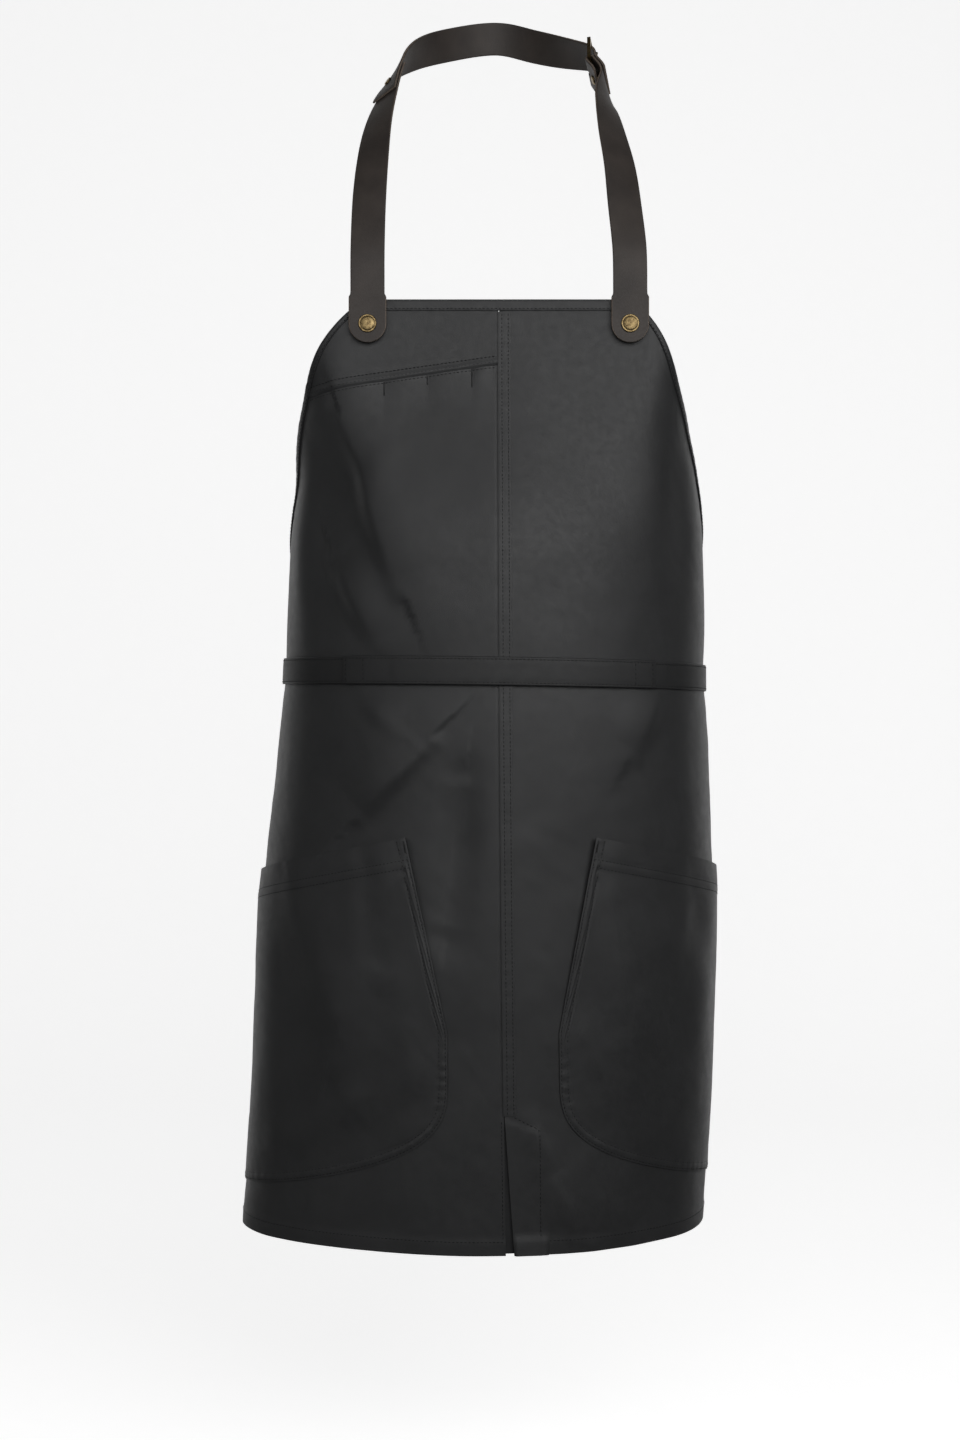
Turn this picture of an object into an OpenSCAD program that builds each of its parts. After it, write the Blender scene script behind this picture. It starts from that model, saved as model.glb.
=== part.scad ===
// Bib apron with a buckled leather neck strap: every size is in millimetres.
// The hem lies level. X runs across the wearer, +Y from the front to the back, +Z up.
// The origin is the inner face of the neck strap, at the nape, where the neck carries it.

/* [Apron] */
// Height of the body, from hem to bib top
body_h = 807; // [670:1:970]
// Half the width of the wearer at the hem
hem_half_w = 207; // [180:1:245]
// Half the width of the wearer at the hips
hip_half_w = 201; // [170:1:240]
// Half the width of the wearer at the waist
waist_half_w = 189; // [160:1:225]
// Half the width of the wearer at the chest
chest_half_w = 180; // [155:1:215]
// Half the depth of the wearer at the hem
hem_half_d = 126; // [105:1:150]
// Half the depth of the wearer at the chest
chest_half_d = 112; // [95:1:135]
// Height of the hips above the hem
hip_z = 285; // [240:1:330]
// Thickness of the coated cloth
cloth_t = 1.2; // [0.8:0.1:1.6]
// Clearance between two sewn layers
layer_gap = 0.3; // [0.3:0.05:0.5]
// Width of one panel along the cloth, seam to side edge, at the waist
side_w = 350; // [300:1:370]
// How much wider each panel is at the hem
side_flare = 25; // [0:1:40]
// Half the width of the bib along its top edge
bib_half_w = 128; // [118:1:140]
// Upright length of the bib's edge at its top corners
bib_corner_h = 7; // [4:1:12]
// Height of the side corner below the armhole, above the hem
corner_z = 516; // [508:1:560]
// How far the drape turns to one side at the hem
sway = 20; // [0:1:30]
// How far the drape draws the right armhole in
draw_right = 10; // [0:0.5:12]
// How far the drape draws the left armhole in
draw_left = 4.5; // [0:0.5:8]
// How far the drape fills the bib out near its upper left corner
fill_left = 4.5; // [0:0.5:8]

/* [Hems and seams] */
// Height of the turned hem at the bottom
hem_h = 13; // [8:1:20]
// Width of the turned hems on the back edges
side_hem_w = 12; // [8:1:18]
// Width of the binding round the armholes
binding_w = 7.5; // [6:0.5:10]
// Height of the hem along the bib top
top_hem_h = 9.5; // [7:0.5:12]
// Width of the lapped centre seam
seam_w = 10; // [7:0.5:14]
// Height of the vent in the centre seam
vent_h = 115; // [80:1:150]
// How far the vent stands open at the hem
vent_open = 6.5; // [3:0.5:12]
// Width of the facings beside the vent
facing_w = 28; // [18:1:36]
// How far the underlap reaches past the vent, to the right
underlap_w = 16; // [10:1:24]
// How far the underlap reaches behind the left panel
underlap_back = 10; // [6:1:20]

/* [Pockets] */
// Depth of the bib pocket behind its mouth
bib_pocket_depth = 130; // [90:1:160]
// Distance of the bib pocket's mouth below the bib top, at the centre seam
mouth_drop = 56; // [42:1:92]
// Fall of that mouth for each millimetre outward
mouth_slope = 0.14; // [0.05:0.01:0.2]
// Height of a hip pocket's mouth at its inner corner
pocket_top_z = 350; // [310:1:380]
// Fall of that mouth for each millimetre outward
pocket_slope = 0.2; // [0.1:0.01:0.25]
// Height of a hip pocket's lower edge at its outer end
pocket_foot_z = 34; // [24:1:50]
// Height where a hip pocket is widest
pocket_round_z = 152; // [130:1:170]
// Distance from the centre seam to a hip pocket's round inner edge
pocket_in = 47; // [40:1:60]
// Distance from the centre seam to a hip pocket's upper inner corner
pocket_corner = 80; // [72:1:95]
// Distance from the centre seam to a hip pocket's outer edge
pocket_out = 300; // [280:1:330]
// How far a hip pocket's mouth stands open
pocket_bulge = 8.5; // [8:0.5:10]
// Clearance under a hip pocket's sewn edge
pocket_gap = 0.5; // [0.4:0.1:0.8]

/* [Waist belt] */
// Height of the belt's lower edge at the centre, above the hem
belt_z = 478; // [440:1:500]
// Height of the belt band
belt_h = 24; // [18:1:30]
// Thickness of the belt band
belt_t = 2; // [1.5:0.1:3]
// Gap between the belt and the cloth
belt_gap = 0.8; // [0.6:0.1:0.9]
// Rise of the belt for each millimetre to the left
belt_tilt = 0.015; // [0:0.001:0.02]
// Half the length of the belt's front band
belt_front_half = 138; // [120:1:160]
// How far the side bands tuck under the front band
belt_tuck = 24; // [15:1:35]
// How far the belt's two ends lap at the back
belt_lap = 70; // [50:1:90]

/* [Neck strap] */
// Width of the leather strap
strap_w = 29; // [26:0.5:31]
// Thickness of the leather
strap_t = 2.5; // [2:0.1:3]
// Width of the round snap tabs
tab_w = 32; // [31:0.5:36]
// Distance of each snap from the centre seam
snap_x = 111.5; // [100:0.5:116]
// Distance of the snaps below the bib top
snap_drop = 21.5; // [18:0.5:26]
// Height of the fold line in the leather above the bib top
fold_up = 8; // [7:0.5:12]
// Clear leather on each side of the fold line
fold_gap = 0.4; // [0.3:0.05:0.45]

/* [Press studs] */
// Diameter of the snap caps
cap_d = 15.5; // [13:0.5:18]
// Diameter of sockets and stud plates
snap_d = 12.5; // [11:0.5:14]
// Diameter of the stud's knob
knob_d = 4.6; // [4:0.1:5.5]
// Clearance between knob and socket
knob_gap = 0.15; // [0.1:0.05:0.25]
// Diameter of the tubes that pass through leather and cloth
tube_d = 3.6; // [3:0.1:4.2]

/* [Buckle] */
// Diameter of the buckle's wire
wire_d = 3; // [2.6:0.1:3.6]
// Distance between the buckle's two bars
buckle_len = 22; // [20:0.5:25]
// Clearance between the buckle and the leather
buckle_gap = 0.3; // [0.25:0.05:0.5]
// Diameter of the prong
prong_d = 2.4; // [2:0.1:2.8]
// Width of the slots that the prong passes through
slot_w = 4; // [3.6:0.1:4.6]
// Length of the prong's slot in the nape strap
slot_len = 15; // [14:0.5:18]

/* [Hidden] */

cloth = "#2b2c2e";
trim = "#1f2022";
leather = "#3d3530";
brass = "#8d7446";

// The body section is a four-centre oval: its shallow arcs turn this far each way.
turn = 35;
turn_rad = turn * PI / 180;
// Depth of the flat bib top behind the front of the body, and where it blends in
lean = 26;
lean_from = body_h - 227;
lean_to = body_h - 37;
lean_half_w = bib_half_w + 2;
lean_blend = 110;
seam_sway = sway * 1.3;

// The armhole is a quick curve below the bib's corner and a slow one into the side corner
armhole_run = 0.35;
armhole_share = 0.48;

mouth_z = body_h - mouth_drop;
nape_up = 284;
nape_depth = 190;
neck_top_z = body_h + nape_up;
snap_z = body_h - snap_drop;
fold_z = body_h + fold_up;
// Depths of the snap's layers: stud plate, socket, leather tab and cap, front to back
plate_t = 0.8;
socket_t = 2.4;
cap_t = 2.3;
stud_front = lean - plate_t;
socket_back = stud_front - layer_gap;
tab_back = socket_back - socket_t - 0.1;
tab_front = tab_back - strap_t;
tab_mid = tab_back - strap_t / 2;

function mix(a, b, t) = a + (b - a) * t;
function ease(t) = let (c = max(0, min(1, t))) c * c * (3 - 2 * c);
function unit(v) = v / norm(v);
function steps(a, b, n) = [for (i = [0:n]) mix(a, b, i / n)];

// ---- The worn surface: u is measured along the cloth from the centre seam, z is the height ----
function half_w(z) = lookup(z, [
    [0, hem_half_w], [hip_z, hip_half_w], [belt_z, waist_half_w], [body_h, chest_half_w]
]);
function half_d(z) = mix(hem_half_d, chest_half_d, z / body_h);

// A point of the oval at arc length s from its front, with the angle of its normal
function oval(s, z) =
    let (
        a = half_w(z),
        b = half_d(z),
        q = (a - b) / (sin(turn) + cos(turn) - 1),
        r2 = b - q * (1 - cos(turn)),
        r1 = r2 + q,
        t = abs(s),
        s1 = r1 * turn_rad,
        s2 = s1 + r2 * (PI - 2 * turn_rad),
        f = t < s1 ? t / r1 : t < s2 ? turn_rad + (t - s1) / r2 : PI - turn_rad + (t - s2) / r1,
        g = f * 180 / PI,
        x = t >= s1 && t < s2 ? q * sin(turn) + r2 * sin(g) : r1 * sin(g),
        d = t < s1 ? r1 * (1 - cos(g)) : t < s2 ? r1 - q * cos(turn) - r2 * cos(g) : 2 * b - r1 - r1 * cos(g)
    ) [sign(s) * x, d, sign(s) * g];

function bell(z, mid, width) = exp(-pow((z - mid) / width, 2));
// Sideways shift of the cloth beside the armholes, where one half hangs fuller than the other
function drawn(s, z) = let (high = body_h - 82) s > 0
    ? -draw_right * ease((s - 110) / 60) * bell(z, high, z > high ? 50 : 75)
    : ease((-s - 90) / 50) * (draw_left * bell(z, high - 70, 30) - fill_left * bell(z, high + 50, 35));

function skin(u, z, off) =
    let (
        sag = pow(1 - z / body_h, 2),
        s = u + seam_sway * sag,
        p = oval(s, z),
        k = ease((z - lean_from) / (lean_to - lean_from)) * (1 - ease((abs(s) - lean_half_w) / lean_blend)),
        g = p.z * (1 - k)
    ) place([p.x + drawn(s, z) - sway * sag + off * sin(g), mix(p.y, lean, k) - off * cos(g), z]);

// From depth behind the front and height above the hem to the part's own frame
function place(p) = [p.x, p.y - nape_depth + strap_t / 2, p.z - neck_top_z];

// Distance from the centre seam to the free edge of a panel
function edge(z) =
    let (
        top = body_h - bib_corner_h,
        t = max(0, (top - z) / (top - corner_z)),
        near = (1 - exp(-t / armhole_run)) / (1 - exp(-1 / armhole_run))
    ) z < corner_z ? side_w + side_flare * (corner_z - z) / corner_z
    : bib_half_w + (side_w - bib_half_w) * mix(pow(t, 4), near, armhole_share);

// Rows of heights: wide below the armhole, close where the cloth turns
function rows(z0, z1) = concat(
    [z0],
    [for (z = concat(
        [15, 60],
        [for (i = [0:6]) vent_h + i * 52],
        [corner_z - 30, corner_z - 15],
        [for (z = [corner_z:7.5:corner_z + 105]) z],
        [for (z = [corner_z + 120:12:body_h - 26]) z],
        [body_h - 15, body_h - bib_corner_h]
    )) if (z > z0 + 2 && z < z1 - 2) z],
    [z1]
);

// ---- Building closed solids from a grid of points ----
function flat(m) = [for (r = m) for (p = r) p];

// outer and inner are grids [column][row]; columns run toward +u, rows toward +z
module grid_solid(outer, inner) {
    n = len(outer);
    m = len(outer[0]);
    k = n * m;
    at = function (j, i) j * m + i;
    faces = concat(
        [for (j = [0:n - 2]) for (i = [0:m - 2]) for (t = [0, 1])
            t == 0 ? [at(j, i), at(j, i + 1), at(j + 1, i + 1)] : [at(j, i), at(j + 1, i + 1), at(j + 1, i)]],
        [for (j = [0:n - 2]) for (i = [0:m - 2]) for (t = [0, 1])
            t == 0 ? [k + at(j, i), k + at(j + 1, i + 1), k + at(j, i + 1)]
            : [k + at(j, i), k + at(j + 1, i), k + at(j + 1, i + 1)]],
        [for (j = [0:n - 2]) for (t = [0, 1])
            t == 0 ? [at(j, 0), at(j + 1, 0), k + at(j + 1, 0)] : [at(j, 0), k + at(j + 1, 0), k + at(j, 0)]],
        [for (j = [0:n - 2]) for (t = [0, 1])
            t == 0 ? [at(j + 1, m - 1), at(j, m - 1), k + at(j, m - 1)]
            : [at(j + 1, m - 1), k + at(j, m - 1), k + at(j + 1, m - 1)]],
        [for (i = [0:m - 2]) for (t = [0, 1])
            t == 0 ? [at(0, i + 1), at(0, i), k + at(0, i)] : [at(0, i + 1), k + at(0, i), k + at(0, i + 1)]],
        [for (i = [0:m - 2]) for (t = [0, 1])
            t == 0 ? [at(n - 1, i), at(n - 1, i + 1), k + at(n - 1, i + 1)]
            : [at(n - 1, i), k + at(n - 1, i + 1), k + at(n - 1, i)]]
    );
    polyhedron(concat(flat(outer), flat(inner)), faces);
}

// A cloth layer: the grid holds [u, z, front offset], and the layer is t thick behind that
module layer(grid, t) {
    grid_solid(
        [for (c = grid) [for (p = c) skin(p.x, p.y, p.z)]],
        [for (c = grid) [for (p = c) skin(p.x, p.y, p.z - t)]]
    );
}

// Between two edges given as lists of [u, z]; both lists have one entry for each row
function between(left, right, n, off) =
    [for (j = [0:n]) [for (i = [0:len(left) - 1]) [
        mix(left[i].x, right[i].x, j / n), mix(left[i].y, right[i].y, j / n), off
    ]]];

// ---- Cloth ----
function vent_edge(z, side) = side * (layer_gap + (side > 0 ? vent_open * max(0, 1 - z / vent_h) : 0));
function mouth(u) = mouth_z - mouth_slope * abs(u);

edge_gap = layer_gap + 1.7;
panel_cols = 38;

// Where the bib pocket's mouth meets the armhole
mouth_end_z = mouth(edge(mouth(edge(mouth_z))));

// The left panel stops at the bib pocket's mouth, which slopes down to the armhole
module panel(side) {
    zs = side > 0 ? rows(0, body_h) : rows(0, mouth_end_z - 6);
    fan = side > 0 ? [] : [0.5, 1];
    a = concat(
        [for (z = zs) [vent_edge(z, side), z]],
        [for (t = fan) [vent_edge(mouth_z, side), mix(mouth_end_z - 6, mouth_z, t)]]
    );
    b = concat(
        [for (z = zs) [side * (edge(z) - edge_gap), z]],
        [for (t = fan) let (z = mouth_end_z - 6 * (1 - t)) [side * (edge(z) - edge_gap), z]]
    );
    layer(side > 0 ? between(a, b, panel_cols, 0) : between(b, a, panel_cols, 0), cloth_t);
}

module panel_left() {
    color(cloth)
        panel(-1);
}

module panel_right() {
    color(cloth)
        panel(1);
}

// The upper left of the bib, which runs down behind the mouth as the back of the pocket
module bib_yoke() {
    behind = -cloth_t - layer_gap;
    drops = concat(steps(-bib_pocket_depth, -10, 12), [0.6]);
    n = 16;
    color(cloth)
        layer([for (j = [0:n]) let (
            // where this column crosses the mouth, then the heights above it
            f = 1 - j / n,
            zm = mouth(f * (edge(mouth_end_z) - edge_gap) + layer_gap)
        ) concat(
            [for (d = drops) [-(f * (edge(zm + d) - edge_gap) + layer_gap), zm + d, behind]],
            [for (z = steps(zm + 2.4, body_h - bib_corner_h, 5)) [-(f * (edge(z) - edge_gap) + layer_gap), z, 0]],
            [[-(f * (edge(body_h) - edge_gap) + layer_gap), body_h, 0]]
        )], cloth_t);
}

module centre_seam_lap() {
    zs = rows(vent_h + 2, body_h - top_hem_h - 1);
    front = layer_gap + 1;
    color(cloth)
        layer(between([for (z = zs) [-1, z]], [for (z = zs) [seam_w, z]], 2, front), 1);
}

module bib_top_hem() {
    n = 28;
    lo = body_h - top_hem_h;
    color(trim)
        layer([for (u = steps(-1, 1, n)) [
            for (z = [lo, body_h - bib_corner_h, body_h]) [u * (edge(z) - binding_w - 2 * layer_gap), z, layer_gap + 1]
        ]], 1);
}

// A tape folded over the armhole edge: front face, fold and back face in one closed section
module binding(side, depth) {
    zs = rows(corner_z, body_h);
    face = 2 * layer_gap;
    front = face + 1;
    back = -cloth_t - layer_gap - depth;
    loop = [
        [binding_w, front], [0, front], [0, back - 1], [binding_w, back - 1],
        [binding_w, back], [1, back], [1, face], [binding_w, face]
    ];
    m = len(loop);
    pts = [for (z = zs) for (p = loop) skin(side * (edge(z) - p.x), z, p.y)];
    cap = [[0, 1, 6, 7], [1, 2, 5, 6], [2, 3, 4, 5]];
    faces = concat(
        [for (i = [0:len(zs) - 2]) for (j = [0:m - 1]) for (t = [0, 1]) let (
            a = i * m + j, b = i * m + (j + 1) % m
        ) t == 0 ? [a, a + m, b + m] : [a, b + m, b]],
        [for (c = cap) [for (q = [0:3]) c[q]]],
        [for (c = cap) [for (q = [3:-1:0]) (len(zs) - 1) * m + c[q]]]
    );
    flipped = [for (f = faces) [for (q = [len(f) - 1:-1:0]) f[q]]];
    polyhedron(pts, side > 0 ? faces : flipped);
}

module armhole_binding_left() {
    // deeper, because the pocket back lies behind the panel there
    color(trim)
        binding(-1, cloth_t + 3 * layer_gap);
}

module armhole_binding_right() {
    color(trim)
        binding(1, 2 * layer_gap);
}

turned = -cloth_t - layer_gap;

module side_hem(side) {
    zs = rows(hem_h + 2, corner_z - 2);
    a = [for (z = zs) [side * (edge(z) - side_hem_w), z]];
    b = [for (z = zs) [side * (edge(z) - edge_gap), z]];
    layer(side > 0 ? between(a, b, 2, turned) : between(b, a, 2, turned), 1);
}

module side_hem_left() {
    color(trim)
        side_hem(-1);
}

module side_hem_right() {
    color(trim)
        side_hem(1);
}

module bottom_hem(side) {
    zs = [0.5, hem_h];
    a = [for (z = zs) [vent_edge(z, side) + side, z]];
    b = [for (z = zs) [side * (edge(z) - edge_gap), z]];
    layer(side > 0 ? between(a, b, panel_cols, turned) : between(b, a, panel_cols, turned), 1);
}

module bottom_hem_left() {
    color(trim)
        bottom_hem(-1);
}

module bottom_hem_right() {
    color(trim)
        bottom_hem(1);
}

module vent_facing(side) {
    zs = steps(hem_h + 1, vent_h - 3, 4);
    a = [for (z = zs) [vent_edge(z, side) + side * layer_gap, z]];
    b = [for (z = zs) [side * facing_w, z]];
    layer(side > 0 ? between(a, b, 4, turned) : between(b, a, 4, turned), 1);
}

module vent_facing_left() {
    color(trim)
        vent_facing(-1);
}

module vent_facing_right() {
    color(trim)
        vent_facing(1);
}

// Sewn behind the left facing, it fills the open vent
module vent_underlap() {
    zs = steps(1, vent_h + 3, 6);
    color(trim)
        layer(between([for (z = zs) [-underlap_back, z]], [for (z = zs) [underlap_w, z]], 4, turned - 1 - layer_gap), 1);
}

// ---- Hip pockets ----
// Upper boundary: the straight inner edge, then the sloping mouth; lower boundary: one long curve
function pocket_hi(u) = u < pocket_corner
    ? mix(pocket_round_z + 34, pocket_top_z, (u - pocket_in) / (pocket_corner - pocket_in))
    : pocket_top_z - pocket_slope * (u - pocket_corner);
function pocket_lo(u) = pocket_round_z
    - (pocket_round_z - pocket_foot_z) * pow((u - pocket_in) / (pocket_out - pocket_in), 0.29);
// The mouth stands open: nothing at the sewn edges, most at the middle of the mouth
function pocket_lift(u, z) = pocket_bulge
    * pow(max(0, sin(180 * pow(max(0, u - pocket_in) / (pocket_out - pocket_in), 0.8))), 0.5)
    * ease(1.15 * (z - pocket_lo(u)) / (pocket_top_z - pocket_foot_z));

module hip_pocket(side) {
    near = [0, 0.4, 1.6, 4, 8, 13, 18, 23, 28];
    us = concat(
        [for (d = near) pocket_in + d],
        [for (u = steps(pocket_corner, pocket_out, 24)) u]
    );
    cols = side > 0 ? us : [for (i = [len(us) - 1:-1:0]) us[i]];
    layer([for (u = cols) [for (t = steps(0, 1, 10)) let (z = mix(pocket_lo(u), pocket_hi(u), t))
        [side * u, z, pocket_gap + 1 + pocket_lift(u, z)]]], 1);
}

module hip_pocket_left() {
    color(cloth)
        hip_pocket(-1);
}

module hip_pocket_right() {
    color(cloth)
        hip_pocket(1);
}

// ---- Waist belt: it follows the body all the way round, at one tilt ----
function belt_lower(u) = belt_z - belt_tilt * u;
// Half the way round the waist, where the two ends meet
function half_round(z) = let (
    a = half_w(z), b = half_d(z), q = (a - b) / (sin(turn) + cos(turn) - 1), r2 = b - q * (1 - cos(turn))
) 2 * (r2 + q) * turn_rad + r2 * (PI - 2 * turn_rad);
waist_half = half_round(belt_z);
waist_shift = seam_sway * pow(1 - belt_z / body_h, 2);

module band(u0, u1, n, off, h) {
    layer([for (u = steps(u0, u1, n)) let (z = belt_lower(sin(180 * u / (2 * waist_half)) * 2 * waist_half / PI))
        [for (t = [0, 0.5, 1]) [u, z + t * h, off + belt_t]]], belt_t);
}

module belt_front() {
    color(trim)
        band(-belt_front_half, belt_front_half, 24, belt_gap + belt_t + layer_gap, belt_h);
}

// The left side band ends under the right one at the back
module belt_side_left() {
    color(trim)
        difference() {
            band(-waist_half - waist_shift - belt_lap / 2, belt_tuck - belt_front_half, 56, belt_gap, belt_h - 1);
            belt_snap_axis()
                cylinder(d = tube_d + 2 * knob_gap, h = 60, center = true, $fn = 32);
        }
}

module belt_side_right() {
    rise = belt_t + 1.4;
    u1 = waist_half - waist_shift + belt_lap / 2;
    us = steps(belt_front_half - belt_tuck, u1, 56);
    color(trim)
        difference() {
            layer([for (u = us) let (
                z = belt_lower(sin(180 * u / (2 * waist_half)) * 2 * waist_half / PI),
                off = belt_gap + belt_t + rise * ease((u - u1 + belt_lap + 60) / 50)
            ) [for (t = [0, 0.5, 1]) [u, z + t * (belt_h - 1), off]]], belt_t);
            belt_snap_axis()
                cylinder(d = tube_d + 2 * knob_gap, h = 60, center = true, $fn = 32);
        }
}

// The belt's press stud: its axis runs front to back through the middle of the lap
belt_snap_z = belt_z + belt_h / 2;
belt_back = skin(waist_half - waist_shift, belt_snap_z, 0);
module belt_snap_axis() {
    translate(belt_back)
        rotate([-90, 0, 0])
            children();
}

module belt_stud_cap() {
    outer = belt_gap + 2 * belt_t + 1.4;
    color(brass)
        belt_snap_axis() {
            translate([0, 0, outer + layer_gap])
                snap_cap();
            translate([0, 0, belt_gap + belt_t + 0.35])
                cylinder(d = tube_d, h = outer - belt_gap - belt_t, $fn = 32);
        }
}

module belt_stud_post() {
    color(brass)
        belt_snap_axis()
            translate([0, 0, belt_gap - 0.3 - 0.6]) {
                cylinder(d = 9, h = 0.6, $fn = 48);
                cylinder(d = tube_d, h = belt_t + 0.9 + 0.2, $fn = 32);
            }
}

// ---- Press studs at the neck: their axes run straight front to back ----
module at_snaps() {
    for (side = [-1, 1])
        translate(place([side * snap_x, 0, snap_z]))
            rotate([-90, 0, 0])
                children();
}

// A shallow domed cap with a rolled rim, its flat back at height 0 and the dome toward +Z
module snap_cap() {
    rotate_extrude($fn = 64)
        polygon(concat(
            [[0, 0], [cap_d / 2 - 0.3, 0], [cap_d / 2, 0.4], [cap_d / 2, 0.9], [cap_d / 2 - 0.5, 1.3],
                [cap_d / 2 - 1.4, 1.3]],
            [for (a = [0:15:90]) [(cap_d / 2 - 1.4) * cos(a), 1.2 + (cap_t - 1.2) * sin(a)]]
        ));
}

module snap_caps() {
    color(brass)
        at_snaps() {
            translate([0, 0, tab_front])
                mirror([0, 0, 1])
                    snap_cap();
            translate([0, 0, tab_front - 0.1])
                cylinder(d = tube_d, h = strap_t + 0.2, $fn = 32);
        }
}

module snap_sockets() {
    color(brass)
        at_snaps()
            translate([0, 0, tab_back + 0.1])
                difference() {
                    cylinder(d = snap_d, h = socket_t, $fn = 64);
                    translate([0, 0, 0.4])
                        cylinder(d = knob_d + 2 * knob_gap, h = socket_t, $fn = 48);
                    translate([0, 0, socket_t - 0.4])
                        cylinder(d1 = knob_d + 2 * knob_gap, d2 = knob_d + 1.6, h = 0.5, $fn = 48);
                }
}

module snap_studs() {
    color(brass)
        at_snaps() {
            translate([0, 0, stud_front])
                cylinder(d = snap_d, h = plate_t, $fn = 64);
            translate([0, 0, tab_back + 0.1 + 0.4 + 0.2])
                cylinder(d = knob_d, h = stud_front - tab_back - 0.6, $fn = 48);
        }
}

// The back half of each stud: a tube through the cloth with a washer behind it
module snap_posts() {
    color(brass)
        at_snaps()
            translate([0, 0, lean + cloth_t + 0.1])
                difference() {
                    cylinder(d = snap_d - 1.5, h = 0.9, $fn = 64);
                    translate([0, 0, 0.3])
                        cylinder(d = tube_d, h = 1, $fn = 32);
                }
}

// ---- Snap tabs ----
module tab(side) {
    translate(place([side * snap_x, tab_back, snap_z]))
        rotate([90, 0, 0])
            linear_extrude(strap_t)
                difference() {
                    union() {
                        circle(d = tab_w, $fn = 96);
                        translate([-tab_w / 2, 0])
                            square([tab_w, snap_drop + fold_up - fold_gap - 6]);
                        translate([-strap_w / 2, 0])
                            square([strap_w, snap_drop + fold_up - fold_gap]);
                    }
                    circle(d = tube_d + 2 * knob_gap, $fn = 32);
                }
}

module tab_left() {
    color(leather)
        tab(-1);
}

module tab_right() {
    color(leather)
        tab(1);
}

// ---- Neck strap: one route up the left, round the nape and down the right ----
// Each station is a centre point (across, depth, height above the bib top) and the direction of
// the leather's inner edge. The stations either side of the buckle lie in one straight line.
buckle_at = [86, 121, 229];
buckle_dir = [0.3, -0.62, -0.725];
buckle_inner = [-0.24, -0.78, 0.57];
station_step = 22;
route = [
    [[-snap_x, tab_mid, fold_up + fold_gap], [1, 0, 0]],
    [[-snap_x, 22.5, 43], [1, 0, 0]],
    [[-111, 36, 86], [1, -0.1, 0]],
    [[-109, 54, 128], [0.95, -0.3, 0.05]],
    [[-106, 76, 165], [0.85, -0.5, 0.15]],
    [[-100, 97, 196], [0.7, -0.65, 0.25]],
    [[-91, 117, 223], [0.5, -0.72, 0.48]],
    [[-76, 143, 251], [0.15, -0.62, 0.77]],
    [[-43, 175, 273], [-0.1, -0.4, 0.9]],
    [[0, nape_depth, nape_up], [0, -0.25, 0.97]],
    [[36, 178, 272], [0.1, -0.4, 0.9]],
    [buckle_at - station_step * buckle_dir, buckle_inner],
    [buckle_at, buckle_inner],
    [buckle_at + station_step * buckle_dir, buckle_inner],
    [[96, 87, 188], [-0.65, -0.68, 0.25]],
    [[100, 69, 156], [-0.85, -0.5, 0.1]],
    [[105, 50, 120], [-0.95, -0.3, 0.05]],
    [[108, 34, 82], [-1, -0.1, 0]],
    [[snap_x - 0.5, 22.5, 43], [-1, 0, 0]],
    [[snap_x, tab_mid, fold_up + fold_gap], [-1, 0, 0]]
];
last = len(route) - 1;

function spline(a, b, c, d, t) = 0.5 * (2 * b + (c - a) * t + (2 * a - 5 * b + 4 * c - d) * t * t
    + (3 * b - a - 3 * c + d) * t * t * t);
function along(t, k) = let (
    i = min(last - 1, max(0, floor(t))),
    p = function (j) route[min(last, max(0, j))][k]
) spline(p(i - 1), p(i), p(i + 1), p(i + 2), t - i);
// Position, inner-edge direction, inward normal and forward direction at station t
function strap_frame(t) = let (
    lo = max(0, t - 0.02),
    hi = min(last, t + 0.02),
    p = along(t, 0),
    f = unit(along(hi, 0) - along(lo, 0)),
    w0 = along(t, 1),
    w = unit(w0 - f * (w0 * f))
) [place([p.x, p.y, p.z + body_h]), w, cross(f, w), f];
// A point beside station t: across the strap, and along its inward normal
function beside(t, x, y) = let (s = strap_frame(t)) s[0] + x * s[1] + y * s[2];

// A frame of leather: [centre, inner-edge direction, normal]; the run bends from frame to frame
function run_frames(t0, t1, shift) = [for (t = steps(t0, t1, ceil((t1 - t0) * 5)))
    let (s = strap_frame(t)) [s[0] + shift(t) * s[2], s[1], s[2]]];

module leather_run(frames) {
    side = function (h) [for (f = frames) [for (x = [-0.5, 0, 0.5]) f[0] - x * strap_w * f[1] + h * f[2]]];
    grid_solid(side(-strap_t / 2), side(strap_t / 2));
}

module at_station(t) {
    s = strap_frame(t);
    multmatrix([
        [s[1].x, s[2].x, s[3].x, s[0].x],
        [s[1].y, s[2].y, s[3].y, s[0].y],
        [s[1].z, s[2].z, s[3].z, s[0].z]
    ])
        children();
}

rivet_t = 5.6;
lap_off = -strap_t - layer_gap;
bar_station = 12;
fold_rivet_t = 12.62;
// Leather folded round the buckle's bar, and the nape strap that lies over it
fold_off = wire_d / 2 + buckle_gap + strap_t / 2;
over_off = -(fold_off + strap_t + layer_gap);
// The nape strap laps outside the left strap, and outside the fold at the buckle
nape_off = function (t) t < 9 ? lap_off * (1 - ease((t - 6.2) / 0.9)) : over_off * ease((t - 10.2) / 1.4);
slot_from = 3.2;
rivet_d = 4.4;
// The heads stand clear of the curved leather by this much
rivet_rise = 0.5;
rivet_head = 1;

module strap_left() {
    color(leather)
        difference() {
            leather_run(run_frames(0, 6.1, function (t) 0));
            at_station(rivet_t)
                rotate([90, 0, 0])
                    cylinder(d = rivet_d, h = 30, center = true, $fn = 32);
        }
}

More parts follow.
